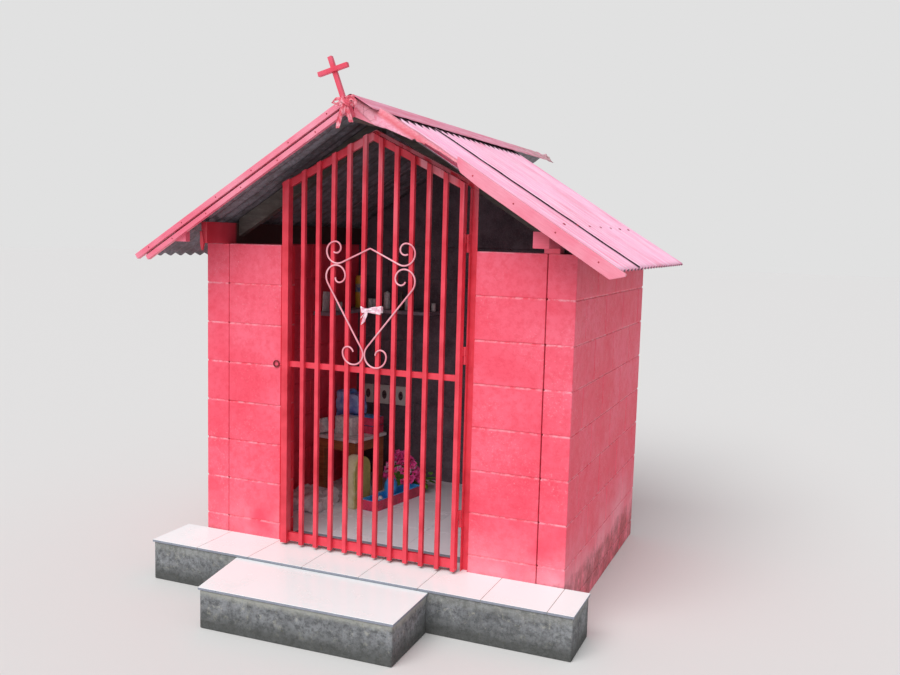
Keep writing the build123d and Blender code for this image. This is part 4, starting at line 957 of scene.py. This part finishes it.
def cross_rag():
    """Knot the torn rag round the foot of the cross: turns, a loop to the left and two hanging ends."""
    mesh = bmesh.new()
    up = (0, 0, 1)
    for level, tilt in ((2098, 10), (2086, -14), (2074, 6)):
        ring = [(-30, -296, level - tilt), (-14, -318, level - tilt / 2), (6, -322, level),
                (24, -312, level + tilt / 2), (32, -297, level + tilt)]
        cloth_band(mesh, ring, [up] * 5, (17, 17), 1.0, 2.5)
    loop = [(-10, -312, 2090), (-34, -315, 2098), (-58, -313, 2094), (-66, -308, 2082), (-48, -310, 2074),
            (-20, -316, 2080)]
    loop_sides = [(0.3, 0, 1), (0, 0.2, 1), (0.6, 0, 0.8), (1, 0, 0.1), (0, 0.3, -1), (0.3, 0, -1)]
    cloth_band(mesh, loop, loop_sides, (16, 14))
    bow = [(8, -316, 2086), (30, -320, 2096), (46, -316, 2086), (42, -312, 2070)]
    cloth_band(mesh, bow, [up, (0, 0, 1), (1, 0, 0.4), (1, 0, -0.2)], (14, 16), 1.0)
    left_end = [(-8, -318, 2088), (-16, -319, 2056), (-26, -318, 2020), (-38, -316, 1974)]
    cloth_band(mesh, left_end, [(1, 0, 0.2), (1, -0.2, 0), (1, 0.3, 0), (0.9, -0.3, 0)], (15, 22), 1.5, 2.6)
    right_end = [(2, -317, 2086), (8, -320, 2060), (18, -317, 2030), (27, -314, 1998)]
    cloth_band(mesh, right_end, [(1, 0, 0), (1, 0.2, 0.2), (1, -0.3, 0), (1, 0.2, 0)], (13, 21), 1.5, 2.6)
    short_end = [(-2, -322, 2080), (-1, -324, 2060), (3, -322, 2040)]
    cloth_band(mesh, short_end, [(1, 0, 0), (1, 0.4, 0), (1, 0, 0)], (14, 8), 1.0)
    knot = [(-20, -318, 2098), (-6, -327, 2090), (6, -327, 2080), (18, -318, 2074)]
    cloth_band(mesh, knot, [(0.4, 0, 1), (0.2, 0, 1), (-0.2, 0, 1), (0, 0, 1)], (26, 22), 1.5, 2.0)
    cloth_piece("cross_rag", "cross_lashing", mesh, "rag", FIXED)


def gate_cloth():
    """Tie the pale cotton strip round two bars: a flat band, a knot on the left bar and a gathered tail."""
    mesh = bmesh.new()
    up = (0, 0, 1)
    front = -66.5
    right_bow = [(-8, front - 4, 1180), (12, front - 5, 1181), (36, front - 2, 1183), (60, front, 1184)]
    cloth_band(mesh, right_bow, [up, up, up, (0.1, 0, 1)], (11, 43), 2.5, 2.0, 24)
    left_bow = [(-8, front - 4, 1180), (-24, front - 5, 1182), (-42, front - 1, 1183)]
    cloth_band(mesh, left_bow, [up, up, (-0.2, 0, 1)], (11, 34), 2.0, 1.8, 16)
    over = [(-12, front - 6, 1184), (14, front - 7, 1191), (38, front - 5, 1195)]
    cloth_band(mesh, over, [(0.2, 0, 1), up, up], (9, 13), 1.0, 1.4, 12)
    wrap = [(60, front + 1, 1188), (63, front + 14, 1187), (56, front + 27, 1186)]
    cloth_band(mesh, wrap, [up] * 3, (32, 26), 1.0, 0.8, 8)
    turn = [(-39, front + 1, 1182), (-42, front + 14, 1183), (-36, front + 27, 1184)]
    cloth_band(mesh, turn, [up] * 3, (24, 20), 1.0, 0.8, 8)
    tail = [(-10, front - 6, 1178), (-14, front - 8, 1160), (-22, front - 6, 1141), (-29, front - 4, 1121)]
    cloth_band(mesh, tail, [(1, 0, 0.2), (1, 0.2, 0.3), (1, -0.2, 0.4), (1, 0, 0.9)], (13, 27), 2.0, 2.2, 18)
    corner = [(-12, front - 5, 1178), (-24, front - 6, 1164), (-38, front - 3, 1148)]
    cloth_band(mesh, corner, [(1, 0, 0.6), (1, 0.2, 0.8), (0.8, 0, 1)], (10, 17), 1.0, 1.6, 12)
    knot = [(-16, front - 5, 1189), (-9, front - 12, 1182), (-4, front - 6, 1171)]
    cloth_band(mesh, knot, [(1, 0, 0.4), (1, 0, 0.2), (1, 0, 0.4)], (13, 15), 1.0, 1.0, 12)
    cloth_piece("gate_cloth_strip", "gate_ribbon", mesh, "ribbon", GATE)


def rod_path(x, z, heading, steps):
    """Return the points of a rod's middle line, from a starting point and heading, every few millimetres."""
    points = [(x, z)]
    for widths, turn in steps:
        size = widths * ROD
        pieces = max(6, round(abs(math.radians(turn)) * size / 5)) if turn else 10
        half = turn / pieces / 2
        length = 2 * size * math.sin(math.radians(abs(half))) if turn else size / pieces
        for _ in range(pieces):
            heading += half
            x += length * math.cos(math.radians(heading))
            z += length * math.sin(math.radians(heading))
            heading += half
            points.append((x, z))
    return points


def bent_rod(mesh, points):
    """Sweep a round bar along points in the gate's plane by drawing its end ring out step by step."""
    ring = bmesh.ops.create_circle(mesh, cap_ends=False, segments=10, radius=ROD / 2000)["verts"]
    edges = list({edge for vert in ring for edge in vert.link_edges})
    first = Vector((points[1][0] - points[0][0], 0, points[1][1] - points[0][1]))
    put(mesh, ring, first.to_track_quat("Z", "Y").to_matrix(), place(points[0][0], ROD_Y, points[0][1]))
    bmesh.ops.contextual_create(mesh, geom=edges)
    heading = first
    for number in range(1, len(points)):
        here, last = points[number], points[number - 1]
        after = points[min(number + 1, len(points) - 1)]
        mean = Vector((after[0] - last[0], 0, after[1] - last[1]))
        extruded = bmesh.ops.extrude_edge_only(mesh, edges=edges)["geom"]
        ring = [item for item in extruded if isinstance(item, bmesh.types.BMVert)]
        edges = [item for item in extruded if isinstance(item, bmesh.types.BMEdge)]
        move = Vector((here[0] - last[0], 0, here[1] - last[1])) / 1000
        bmesh.ops.translate(mesh, vec=move, verts=ring)
        turn = heading.rotation_difference(mean).to_matrix()
        bmesh.ops.rotate(mesh, cent=place(here[0], ROD_Y, here[1]), matrix=turn, verts=ring)
        heading = mean
    bmesh.ops.contextual_create(mesh, geom=edges)


def scroll_piece(name, node, points):
    """Bend one part of the scroll from round bar and let it stand for its CAD node."""
    mesh = bmesh.new()
    bent_rod(mesh, points)
    bmesh.ops.recalc_face_normals(mesh, faces=mesh.faces)
    piece = as_piece(name, mesh, "scroll", GATE, 50)
    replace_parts(piece, node)


def gate_scroll():
    """Bend the heart's two halves and the peaked bar that sits on them."""
    side = (ROD + 0.3) / 2
    halves = (
        ("left", KISS_X - side, HEART_LEFT, FOOT_LEFT),
        ("right", KISS_X + side, HEART_RIGHT, FOOT_RIGHT),
    )
    for hand, x, heart, foot in halves:
        joined = list(reversed(rod_path(x, KISS_Z, 270, foot)))[:-1] + rod_path(x, KISS_Z, 90, heart)
        scroll_piece(f"scroll_rod_{hand}", f"gate_scroll_{hand}", joined)
    low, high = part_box("gate_scroll_top")
    middle = 1000 * ((low.x + high.x) / 2 - PORCH_MIDDLE)
    right = rod_path(middle, 0, -PEAK_FALL, PEAK)
    left = [(2 * middle - x, z) for x, z in right]
    lowest = min(z for x, z in right) - ROD / 2
    lift = 1000 * (low.z - TILE_TOP) - lowest
    peak = [(x, z + lift) for x, z in list(reversed(left))[:-1] + right]
    scroll_piece("scroll_rod_peak", "gate_scroll_top", peak)


def turned(mesh, centre, profile, segments=20, material=0):
    """Turn a shape on a lathe: the profile gives radius and height in millimetres."""
    x, y, z = centre
    verts = [mesh.verts.new(place(x + radius, y, z + height)) for radius, height in profile]
    edges = [mesh.edges.new(pair) for pair in zip(verts, verts[1:])]
    bmesh.ops.spin(mesh, geom=verts + edges, cent=place(x, y, z), axis=(0, 0, 1), dvec=ORIGIN,
                   angle=math.tau, steps=segments, use_merge=True, use_duplicate=False)
    faces = {face for vert in verts if vert.is_valid for face in vert.link_faces}
    grown = True
    while grown:
        more = {face for part in faces for edge in part.edges for face in edge.link_faces} - faces
        grown = bool(more)
        faces |= more
    bmesh.ops.remove_doubles(mesh, verts=list({vert for face in faces for vert in face.verts}), dist=0.00005)
    for face in [face for face in faces if face.is_valid]:
        face.material_index = material


def small_goods():
    """Set the candle jar, cups, bottles, card and packet on the shelf."""
    top = 1000 * (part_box("shelf")[1].z - TILE_TOP)
    middle = 1299.7
    mesh = bmesh.new()
    jar = [(0, 0), (27, 0), (29, 4), (29, 186), (24, 193), (24, 199), (20, 199), (20, 190), (0, 188)]
    turned(mesh, (-772.4, middle, top), jar)
    cup = [(0, 0), (11, 0), (13, 3), (15, 58), (13, 58), (11, 8), (0, 6)]
    for x in (-699, -669):
        turned(mesh, (x, middle, top), cup, 16, 1)
    candle = [(0, 0), (19, 0), (22, 4), (20, 96), (16, 103), (6, 106), (6, 109), (0, 109)]
    turned(mesh, (-581, middle, top), candle, 20, 1)
    bottle = [(0, 0), (17, 0), (19, 4), (19, 66), (9, 84), (8, 108), (10, 110), (10, 115), (0, 115)]
    turned(mesh, (-482, middle, top), bottle, 20, 2)
    turned(mesh, (-446, middle, top), [(0, 0), (12, 0), (13, 3), (13, 74), (9, 80), (0, 80)], 16, 1)
    pot = [(0, 0), (10, 0), (13, 4), (14, 30), (11, 40), (13, 49), (10, 49), (8, 36), (0, 34)]
    turned(mesh, (-266, middle, top), pot, 16, 1)
    bmesh.ops.recalc_face_normals(mesh, faces=mesh.faces)
    card = place(-761, 858, top)
    lean = Matrix.Rotation(math.radians(-4), 3, "X")
    corner, other = Vector((-0.003, -0.038, 0.003)), Vector((0.003, 0.036, 0.118))
    add_block(mesh, card + corner, card + other, 0.001, 2, lean, card, 1)
    packet = place(-761, 1009, top)
    corner, other = Vector((-0.018, -0.018, 0)), Vector((0.018, 0.018, 0.05))
    add_block(mesh, packet + corner, packet + other, 0.002, 2, material=1)
    piece = as_piece("shelf_goods", mesh, ("candle", "white_goods", "dark_goods"), FIXED)
    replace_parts(piece, "shelf_candles")


def table_middle():
    """Return the middle of the table's top."""
    low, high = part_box("table_top")
    return Vector(((low.x + high.x) / 2, (low.y + high.y) / 2, high.z))


def on_table(x, y, z):
    """Return a place on the turned table, in millimetres from the middle of its top."""
    return table_middle() + TABLE_TURN @ Vector((x, y, z)) / 1000


def turned_block(mesh, low, high, bevel=2.0, material=0):
    """Add a box on the table, turned as the table is, between corners in millimetres from its middle."""
    centre = table_middle()
    corner = centre + Vector(low) / 1000
    other = centre + Vector(high) / 1000
    add_block(mesh, corner, other, bevel / 1000, 2, TABLE_TURN, centre, material)


def crumpled(name, low, high, size_mm, depth_mm, material, turn=None, centre=None):
    """Form one piece of crumpled film or cloth from a finely divided block, kept above what it stands on."""
    mesh = bmesh.new()
    add_block(mesh, low, high, turn=turn, centre=centre)
    bmesh.ops.subdivide_edges(mesh, edges=mesh.edges, cuts=11, use_grid_fill=True)
    floor = min(low[2], high[2])
    for _ in range(2):
        bmesh.ops.smooth_vert(mesh, verts=mesh.verts, factor=0.5, use_axis_x=True, use_axis_y=True,
                              use_axis_z=True)
    for vert in mesh.verts:
        push = noise.noise_vector(vert.co * 1000 / size_mm) * depth_mm / 1000
        vert.co += push + noise.noise_vector(vert.co * 2600 / size_mm) * depth_mm / 2500
        vert.co.z = max(vert.co.z, floor)
    return as_piece(name, mesh, material, FIXED, 40)


def table_goods():
    """Set the packet, the white box, the stacked trays and the printed film bundles on the table."""
    mesh = bmesh.new()
    centre = table_middle()
    lean = TABLE_TURN @ Matrix.Rotation(math.radians(-14), 3, "Y")
    foot = on_table(-118, -105, 6)
    corner, other = Vector((-0.022, -0.027, 0)), Vector((0.022, 0.027, 0.084))
    add_block(mesh, foot + corner, foot + other, 0.003, 2, lean, foot)
    turned_block(mesh, (-75, -60, 0), (48, 24, 103))
    for base in (0, 50):
        turned_block(mesh, (-42, 39, base), (132, 144, base + 46), 3, 1)
        turned_block(mesh, (-36, 45, base + 45), (126, 138, base + 47.5), 1, 2)
    pieces = [as_piece("table_goods", mesh, ("white_goods", "tray_red", "tray_blue"), FIXED, 40)]
    bags = (((-0.146, 0.034, 0.001), (-0.062, 0.142, 0.240)), ((-0.084, 0.044, 0.105), (0.012, 0.136, 0.222)))
    for number, (corner, other) in enumerate(bags):
        low, high = centre + Vector(corner), centre + Vector(other)
        pieces.append(crumpled(f"film_bundle_{number + 1}", low, high, 60, 14, "film", TABLE_TURN, centre))
    for piece in pieces:
        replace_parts(piece, "table_boxes")


def tray_side(face):
    """Return 1 for the outer side of the floor tray."""
    low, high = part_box("floor_tray")
    out = face.calc_center_median() - (low + high) / 2
    out.z = 0
    return 1 if abs(face.normal.z) < 0.5 and out.dot(face.normal) > 0.04 else 0


def floor_goods():
    """Lay the vessel in the tray, the crumpled film by the door post and the rail across the table's feet."""
    mesh = bmesh.new()
    cup = [(0, 0), (24, 0), (28, 4), (39, 70), (36, 100), (22, 124), (9, 138), (0, 141)]
    turned(mesh, (-316, 858, 10), cup, 18, 0)
    turned(mesh, (-318, 730, 10), [(0, 0), (14, 0), (15, 3), (13, 46), (6, 54), (0, 54)], 14, 1)
    bmesh.ops.recalc_face_normals(mesh, faces=mesh.faces)
    vessels = as_piece("tray_vessels", mesh, ("tray_blue", "clear_film"), FIXED, 40)
    film = crumpled("floor_film", place(-795, 440, 0.6), place(-565, 700, 78), 55, 26, "clear_film")
    rail = bmesh.new()
    start, end = (on_table(x, -145, 0) for x in (-138, 138))
    start.z = end.z = TILE_TOP + 0.034
    made = add_cone(rail, 0.006, 0.006, (end - start).length, 12)
    put(rail, made, (end - start).to_track_quat("Z", "Y").to_matrix(), (start + end) / 2)
    as_piece("table_foot_rail", rail, "laminate", FIXED)


def flower_heap():
    """Heap the cloth flowers behind the tray, with leaves at their right."""
    shuffle = random.Random(7)
    mesh = bmesh.new()
    core = crumpled("flower_heap_core", place(-440, 1088, 0.6), place(-285, 1175, 170), 60, 14, "leaf")
    for number in range(130):
        angle = shuffle.uniform(0, math.tau)
        reach = math.sqrt(shuffle.random())
        height = 75 + 165 * (1 - reach ** 2) * shuffle.uniform(0.75, 1.0)
        centre = place(-358 + 118 * reach * math.cos(angle), 1095 + 85 * reach * math.sin(angle), height)
        made = add_cone(mesh, 0.005, 0.023, 0.014, 10, closed=False)
        for index, vert in enumerate(made):
            if vert.co.z > 0 and index % 4 > 1:
                vert.co *= 0.7
        tip = Matrix.Rotation(shuffle.uniform(0.1, 1.3), 3, "X")
        put(mesh, made, tip @ Matrix.Rotation(shuffle.uniform(-0.9, 0.9), 3, "Y"), centre)
        painted(made, 0 if number % 9 else 2)
    for _ in range(34):
        made = bmesh.ops.create_grid(mesh, x_segments=2, y_segments=4, size=0.5)["verts"]
        length = shuffle.uniform(0.05, 0.09)
        for vert in made:
            taper = 1 - abs(vert.co.y * 2) ** 1.6
            along = vert.co.y + 0.5
            vert.co = Vector((vert.co.x * 0.032 * taper, along * length, -0.3 * length * along ** 2))
        tip = Matrix.Rotation(shuffle.uniform(0, math.tau), 3, "Z")
        tip = tip @ Matrix.Rotation(shuffle.uniform(-0.2, 0.8), 3, "X")
        x, y = -245 + shuffle.uniform(-60, 35), 1150 + shuffle.uniform(-50, 60)
        put(mesh, made, tip, place(x, y, shuffle.uniform(35, 110)))
        painted(made, 1)
    thin = [("SOLIDIFY", {"thickness": 0.0008, "offset": 0.0})]
    piece = as_piece("cloth_flowers", mesh, ("petal", "leaf", "pale_petal"), FIXED, 40, thin)


def medallions():
    """Fire a plain dark oval into the face of each tablet."""
    low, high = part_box("white_tablets")
    mesh = bmesh.new()
    for number in range(3):
        made = add_cone(mesh, 0.02, 0.019, 0.002, 24)
        bmesh.ops.scale(mesh, vec=(0.8, 1.45, 1.0), verts=made)
        x = low.x + 0.035 + 0.115 * number
        put(mesh, made, Matrix.Rotation(math.pi / 2, 3, "X"), (x, low.y - 0.0005, (low.z + high.z) / 2))
    as_piece("tablet_ovals", mesh, "medallion", FIXED)


class ShrineSizes(bpy.types.PropertyGroup):
    """Sizes of what is laid over the frame."""

    block_length: bpy.props.FloatProperty(name="Block", description="Length of one block with its joint",
                                          default=0.4, unit="LENGTH")
    joint_width: bpy.props.FloatProperty(name="Joint width", description="Width of the painted joint",
                                         default=0.005, unit="LENGTH")
    joint_depth: bpy.props.FloatProperty(name="Joint depth", description="Depth of the joint below the face",
                                         default=0.005, unit="LENGTH")
    joint_round: bpy.props.FloatProperty(name="Arris", description="Rounding of a block's painted edge",
                                         default=0.004, unit="LENGTH")
    tile_pitch: bpy.props.FloatProperty(name="Porch tile", description="Spacing of the porch tiles' joints",
                                        default=0.293, unit="LENGTH")
    room_tile: bpy.props.FloatProperty(name="Room tile", description="Spacing of the room tiles' joints",
                                       default=0.303, unit="LENGTH")


class ShrineColours(bpy.types.PropertyGroup):
    """Paint colours as sRGB hex values."""

    wall_red: bpy.props.StringProperty(name="Wall", description="Masonry paint", default="#f4536a")
    wall_deep: bpy.props.StringProperty(name="Wall, deep", description="Fresh patches", default="#ea4459")
    wall_faded: bpy.props.StringProperty(name="Wall, faded", description="Faded patches", default="#fa7087")
    # Chalky wear, also used for the painted highlight on the bed joints' arrises
    wall_chalk_and_highlight: bpy.props.StringProperty(name="Wall, chalky", description="Worn arrises", default="#fbb6c3")
    gloss_red: bpy.props.StringProperty(name="Timber", description="Gloss on timber", default="#e5455b")
    gloss_pale: bpy.props.StringProperty(name="Timber, pale", description="Faded gloss", default="#f0768f")
    gloss_deep: bpy.props.StringProperty(name="Timber, deep", description="Brush lines", default="#c02a3e")
    barge_pale: bpy.props.StringProperty(name="Verge", description="Faded verge boards", default="#f59db2")
    gate_red: bpy.props.StringProperty(name="Gate", description="Gate enamel", default="#ee4659")
    gate_deep: bpy.props.StringProperty(name="Gate, deep", description="Thick enamel", default="#d02c3d")
    scroll_pink: bpy.props.StringProperty(name="Scroll", description="Scroll enamel", default="#f4b4c0")
    scroll_deep: bpy.props.StringProperty(name="Scroll, worn", description="Worn enamel", default="#e88898")
    # The roof's pinks are lighter and bluer than the paint: partly a painted reflection of the sky
    roof_pink_and_sky_sheen: bpy.props.StringProperty(name="Roof", description="Roof paint", default="#f090ac")
    roof_pale_and_sky_sheen: bpy.props.StringProperty(name="Roof, faded", description="Faded roof paint", default="#f8add0")
    # Crest paleness and valley darkness stand partly for painted highlight and painted shade
    roof_chalk_and_crest_highlight: bpy.props.StringProperty(name="Roof, chalky", description="Worn crests", default="#fbd2e8")
    roof_dirt_and_valley_shade: bpy.props.StringProperty(name="Roof, deep", description="Dirty valleys", default="#c9607b")
    cap_red: bpy.props.StringProperty(name="Ridge", description="Ridge cap paint", default="#e6708e")
    cap_pink: bpy.props.StringProperty(name="Ridge, faded", description="Faded cap paint", default="#f4a8c2")


class ShrineWalls(bpy.types.Operator):
    """Lay the block walls"""

    bl_idname = "shrine.walls"
    bl_label = "Block Walls"

    def execute(self, context):
        for node in ("front_wall_left", "front_wall_right"):
            block_wall(node, (0.4,), 0)
        for node in ("side_wall_left", "side_wall_right"):
            block_wall(node, (0.4, 0.2), 1)
        block_wall("back_wall", (0.2, 0.4), 0)
        gable = dressed("back_gable", "walls", 3.0)
        return {"FINISHED"}


class ShrineFloors(bpy.types.Operator):
    """Make the porch, the landing and the tiled floor"""

    bl_idname = "shrine.floors"
    bl_label = "Porch and Floor"

    def execute(self, context):
        pitch = context.scene.shrine_sizes.tile_pitch
        start = place(-509, 0, 0).x - 2 * pitch
        joints = [start + pitch * step for step in range(8)]
        porch_tiles(joints)
        landing = dressed("landing_tile", ("porch_tile", "blue_grey_shade"), 1.2, pick=tile_side)
        for node in ("porch_slab", "landing_block"):
            dressed(node, "concrete", 6.0, 3)
        dressed("floor_slab", "concrete", 2.0)
        room_tiles(context.scene.shrine_sizes.room_tile)
        return {"FINISHED"}


class ShrineRoof(bpy.types.Operator):
    """Form the corrugated sheets, the ridge cap and the flashing, and drive their nails"""

    bl_idname = "shrine.roof"
    bl_label = "Roof Sheets"

    def execute(self, context):
        for side, node in ((-1, "roof_sheets_left"), (1, "roof_sheets_right")):
            for number in range(SHEETS):
                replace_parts(corrugated_sheet(side, number), node)
        ridge_cap()
        bent_flashing()
        roof_nails()
        return {"FINISHED"}


class ShrineTimber(bpy.types.Operator):
    """Dress the plates, pole, rafters, verge boards and cross"""

    bl_idname = "shrine.timber"
    bl_label = "Timber"

    def execute(self, context):
        finishes = {
            "wall_plate_left": ("plank", 2.0), "wall_plate_right": ("timber", 2.5),
            "ridge_pole": ("bare_wood", 2.5), "front_rafters": ("bare_wood", 2.5),
            "barge_batten_left": ("barge_left", 2.0), "barge_board_left": ("barge_left", 2.0),
            "barge_stub_right": ("barge_right", 2.0), "barge_board_right": ("barge_right", 2.0),
            "cross_upright": ("cross", 1.5), "cross_arm": ("cross", 1.5),
        }
        for node, (material, bevel) in finishes.items():
            dressed(node, material, bevel)
        verge_nails()
        cross_rag()
        return {"FINISHED"}


class ShrineGate(bpy.types.Operator):
    """Dress the door frame, the gate, its scroll, its cloth strip and its hinges"""

    bl_idname = "shrine.gate"
    bl_label = "Gate"

    def execute(self, context):
        for node in ("door_posts", "door_head", "hinge_pins"):
            dressed(node, "door_frame", 0.8)
        for node in ("gate_stiles", "gate_bars", "gate_rails", "gate_top_rails"):
            dressed(node, "gate", 1.6, 3)
        dressed("gate_hinge_barrels", "gate", 0.5)
        dressed("latch_ring", "latch", 0.8)
        gate_scroll()
        gate_cloth()
        return {"FINISHED"}


class ShrineRoom(bpy.types.Operator):
    """Furnish the room: shelf, table, tablets, slab, tray, flowers and small goods"""

    bl_idname = "shrine.room"
    bl_label = "Room"

    def execute(self, context):
        pieces = (
            ("shelf", "shelf", 1.5, "shelf_board"), ("table_top", "laminate", 2.0, "table_white"),
            ("table_frame", "varnish", 2.0, "table_wood"), ("round_topped_slab", "slab", 7.0, "cream_stone"),
            ("white_tablets", "tablet", 1.5, "tablet"),
        )
        for node, material, bevel, slot in pieces:
            dressed(node, material, bevel, 3)
        tray = dressed("floor_tray", ("tray_blue", "tray_red"), 2.0, 3, pick=tray_side)
        medallions()
        small_goods()
        table_goods()
        floor_goods()
        flower_heap()
        return {"FINISHED"}


def stage_floor():
    """Lay the plain pale floor, with the shadows kept."""
    mesh = bmesh.new()
    bmesh.ops.create_grid(mesh, x_segments=1, y_segments=1, size=60)
    data = bpy.data.meshes.new("studio_floor")
    mesh.to_mesh(data)
    mesh.free()
    floor = bpy.data.objects.new("studio_floor", data)
    bpy.context.scene.collection.objects.link(floor)
    material, tree = new_material("studio_floor_pale")[:2]
    add(tree, "finished", add(tree, "coat", "#dddcda", 0.9, None, 0.1))
    data.materials.append(material)


def studio_world():
    """Set the soft studio light that comes from all round, with a pale backdrop to the camera."""
    world = bpy.data.worlds.new("studio_world")
    bpy.context.scene.world = world
    world.use_nodes = True
    tree = world.node_tree
    tree.nodes.clear()
    soft = add(tree, "glow", "#f6f6fb", 0.5)
    pale = add(tree, "glow", "#e1e1e1", 1.0)
    seen = add(tree, "larger", add(tree, "camera ray"), add(tree, "transmission ray"))
    add(tree, "world", add(tree, "mixed light", seen, soft, pale))


def studio_sun(strength, spread, elevation, azimuth):
    """Hang one broad soft sun: azimuth is measured from straight in front toward the left."""
    data = bpy.data.lights.new("soft_sun", "SUN")
    data.energy = strength
    data.angle = math.radians(spread)
    lamp = bpy.data.objects.new("soft_sun", data)
    height, bearing = math.radians(elevation), math.radians(azimuth)
    flat = math.cos(height)
    source = Vector((-math.sin(bearing) * flat, -math.cos(bearing) * flat, math.sin(height)))
    lamp.rotation_euler = source.to_track_quat("Z", "Y").to_euler()
    bpy.context.scene.collection.objects.link(lamp)


def photo_camera():
    """Set the camera that was solved on the photograph."""
    yaw, pitch, roll = (math.radians(angle) for angle in (CAMERA_YAW, CAMERA_PITCH, CAMERA_ROLL))
    forward = Vector((-math.sin(yaw), math.cos(yaw), 0))
    right = Vector((math.cos(yaw), math.sin(yaw), 0))
    up = Vector((0, 0, 1))
    aim = forward * math.cos(pitch) + up * math.sin(pitch)
    raised = up * math.cos(pitch) - forward * math.sin(pitch)
    across = right * math.cos(roll) + raised * math.sin(roll)
    top = raised * math.cos(roll) - right * math.sin(roll)
    data = bpy.data.cameras.new("photo_camera")
    data.sensor_width = 36
    data.lens = CAMERA_FOCAL_PX / IMAGE_WIDTH_PX * data.sensor_width
    data.clip_end = 200
    camera = bpy.data.objects.new("photo_camera", data)
    turn = Matrix((across, top, -aim)).transposed().to_4x4()
    camera.matrix_world = Matrix.Translation(place(*CAMERA_PLACE)) @ turn
    bpy.context.scene.collection.objects.link(camera)
    bpy.context.scene.camera = camera


class ShrineStage(bpy.types.Operator):
    """Set the floor, the light and the camera"""

    bl_idname = "shrine.stage"
    bl_label = "Stage"

    def execute(self, context):
        stage_floor()
        studio_world()
        studio_sun(strength=2.25, spread=50, elevation=52, azimuth=8)
        studio_sun(strength=0.3, spread=50, elevation=20, azimuth=-15)
        photo_camera()
        context.scene.view_settings.view_transform = "Standard"
        return {"FINISHED"}


class ShrinePanel(bpy.types.Panel):
    """Lists the shrine's operators, sizes and colours"""

    bl_idname = "VIEW3D_PT_shrine"
    bl_label = "Wayside Shrine"
    bl_space_type = "VIEW_3D"
    bl_region_type = "UI"
    bl_category = "Shrine"

    def draw(self, context):
        column = self.layout.column()
        for step in STEPS:
            column.operator(step.bl_idname)
        for group in (context.scene.shrine_sizes, context.scene.shrine_colours):
            for name in group.__annotations__:
                column.prop(group, name)


STEPS = (ShrineStage, ShrineWalls, ShrineFloors, ShrineRoof, ShrineTimber, ShrineGate, ShrineRoom)
CLASSES = (ShrineSizes, ShrineColours, *STEPS, ShrinePanel)


def register():
    """Register the add-on's classes and its settings on the scene."""
    for each in CLASSES:
        bpy.utils.register_class(each)
    bpy.types.Scene.shrine_sizes = bpy.props.PointerProperty(type=ShrineSizes)
    bpy.types.Scene.shrine_colours = bpy.props.PointerProperty(type=ShrineColours)


def unregister():
    """Take the add-on's settings and classes away again."""
    del bpy.types.Scene.shrine_colours
    del bpy.types.Scene.shrine_sizes
    for each in reversed(CLASSES):
        bpy.utils.unregister_class(each)


def main():
    """Build every piece in order."""
    noise.seed_set(NOISE_SEED)
    register()
    for step in STEPS:
        group, name = step.bl_idname.split(".")
        getattr(getattr(bpy.ops, group), name)()


if __name__ == "__main__":
    main()
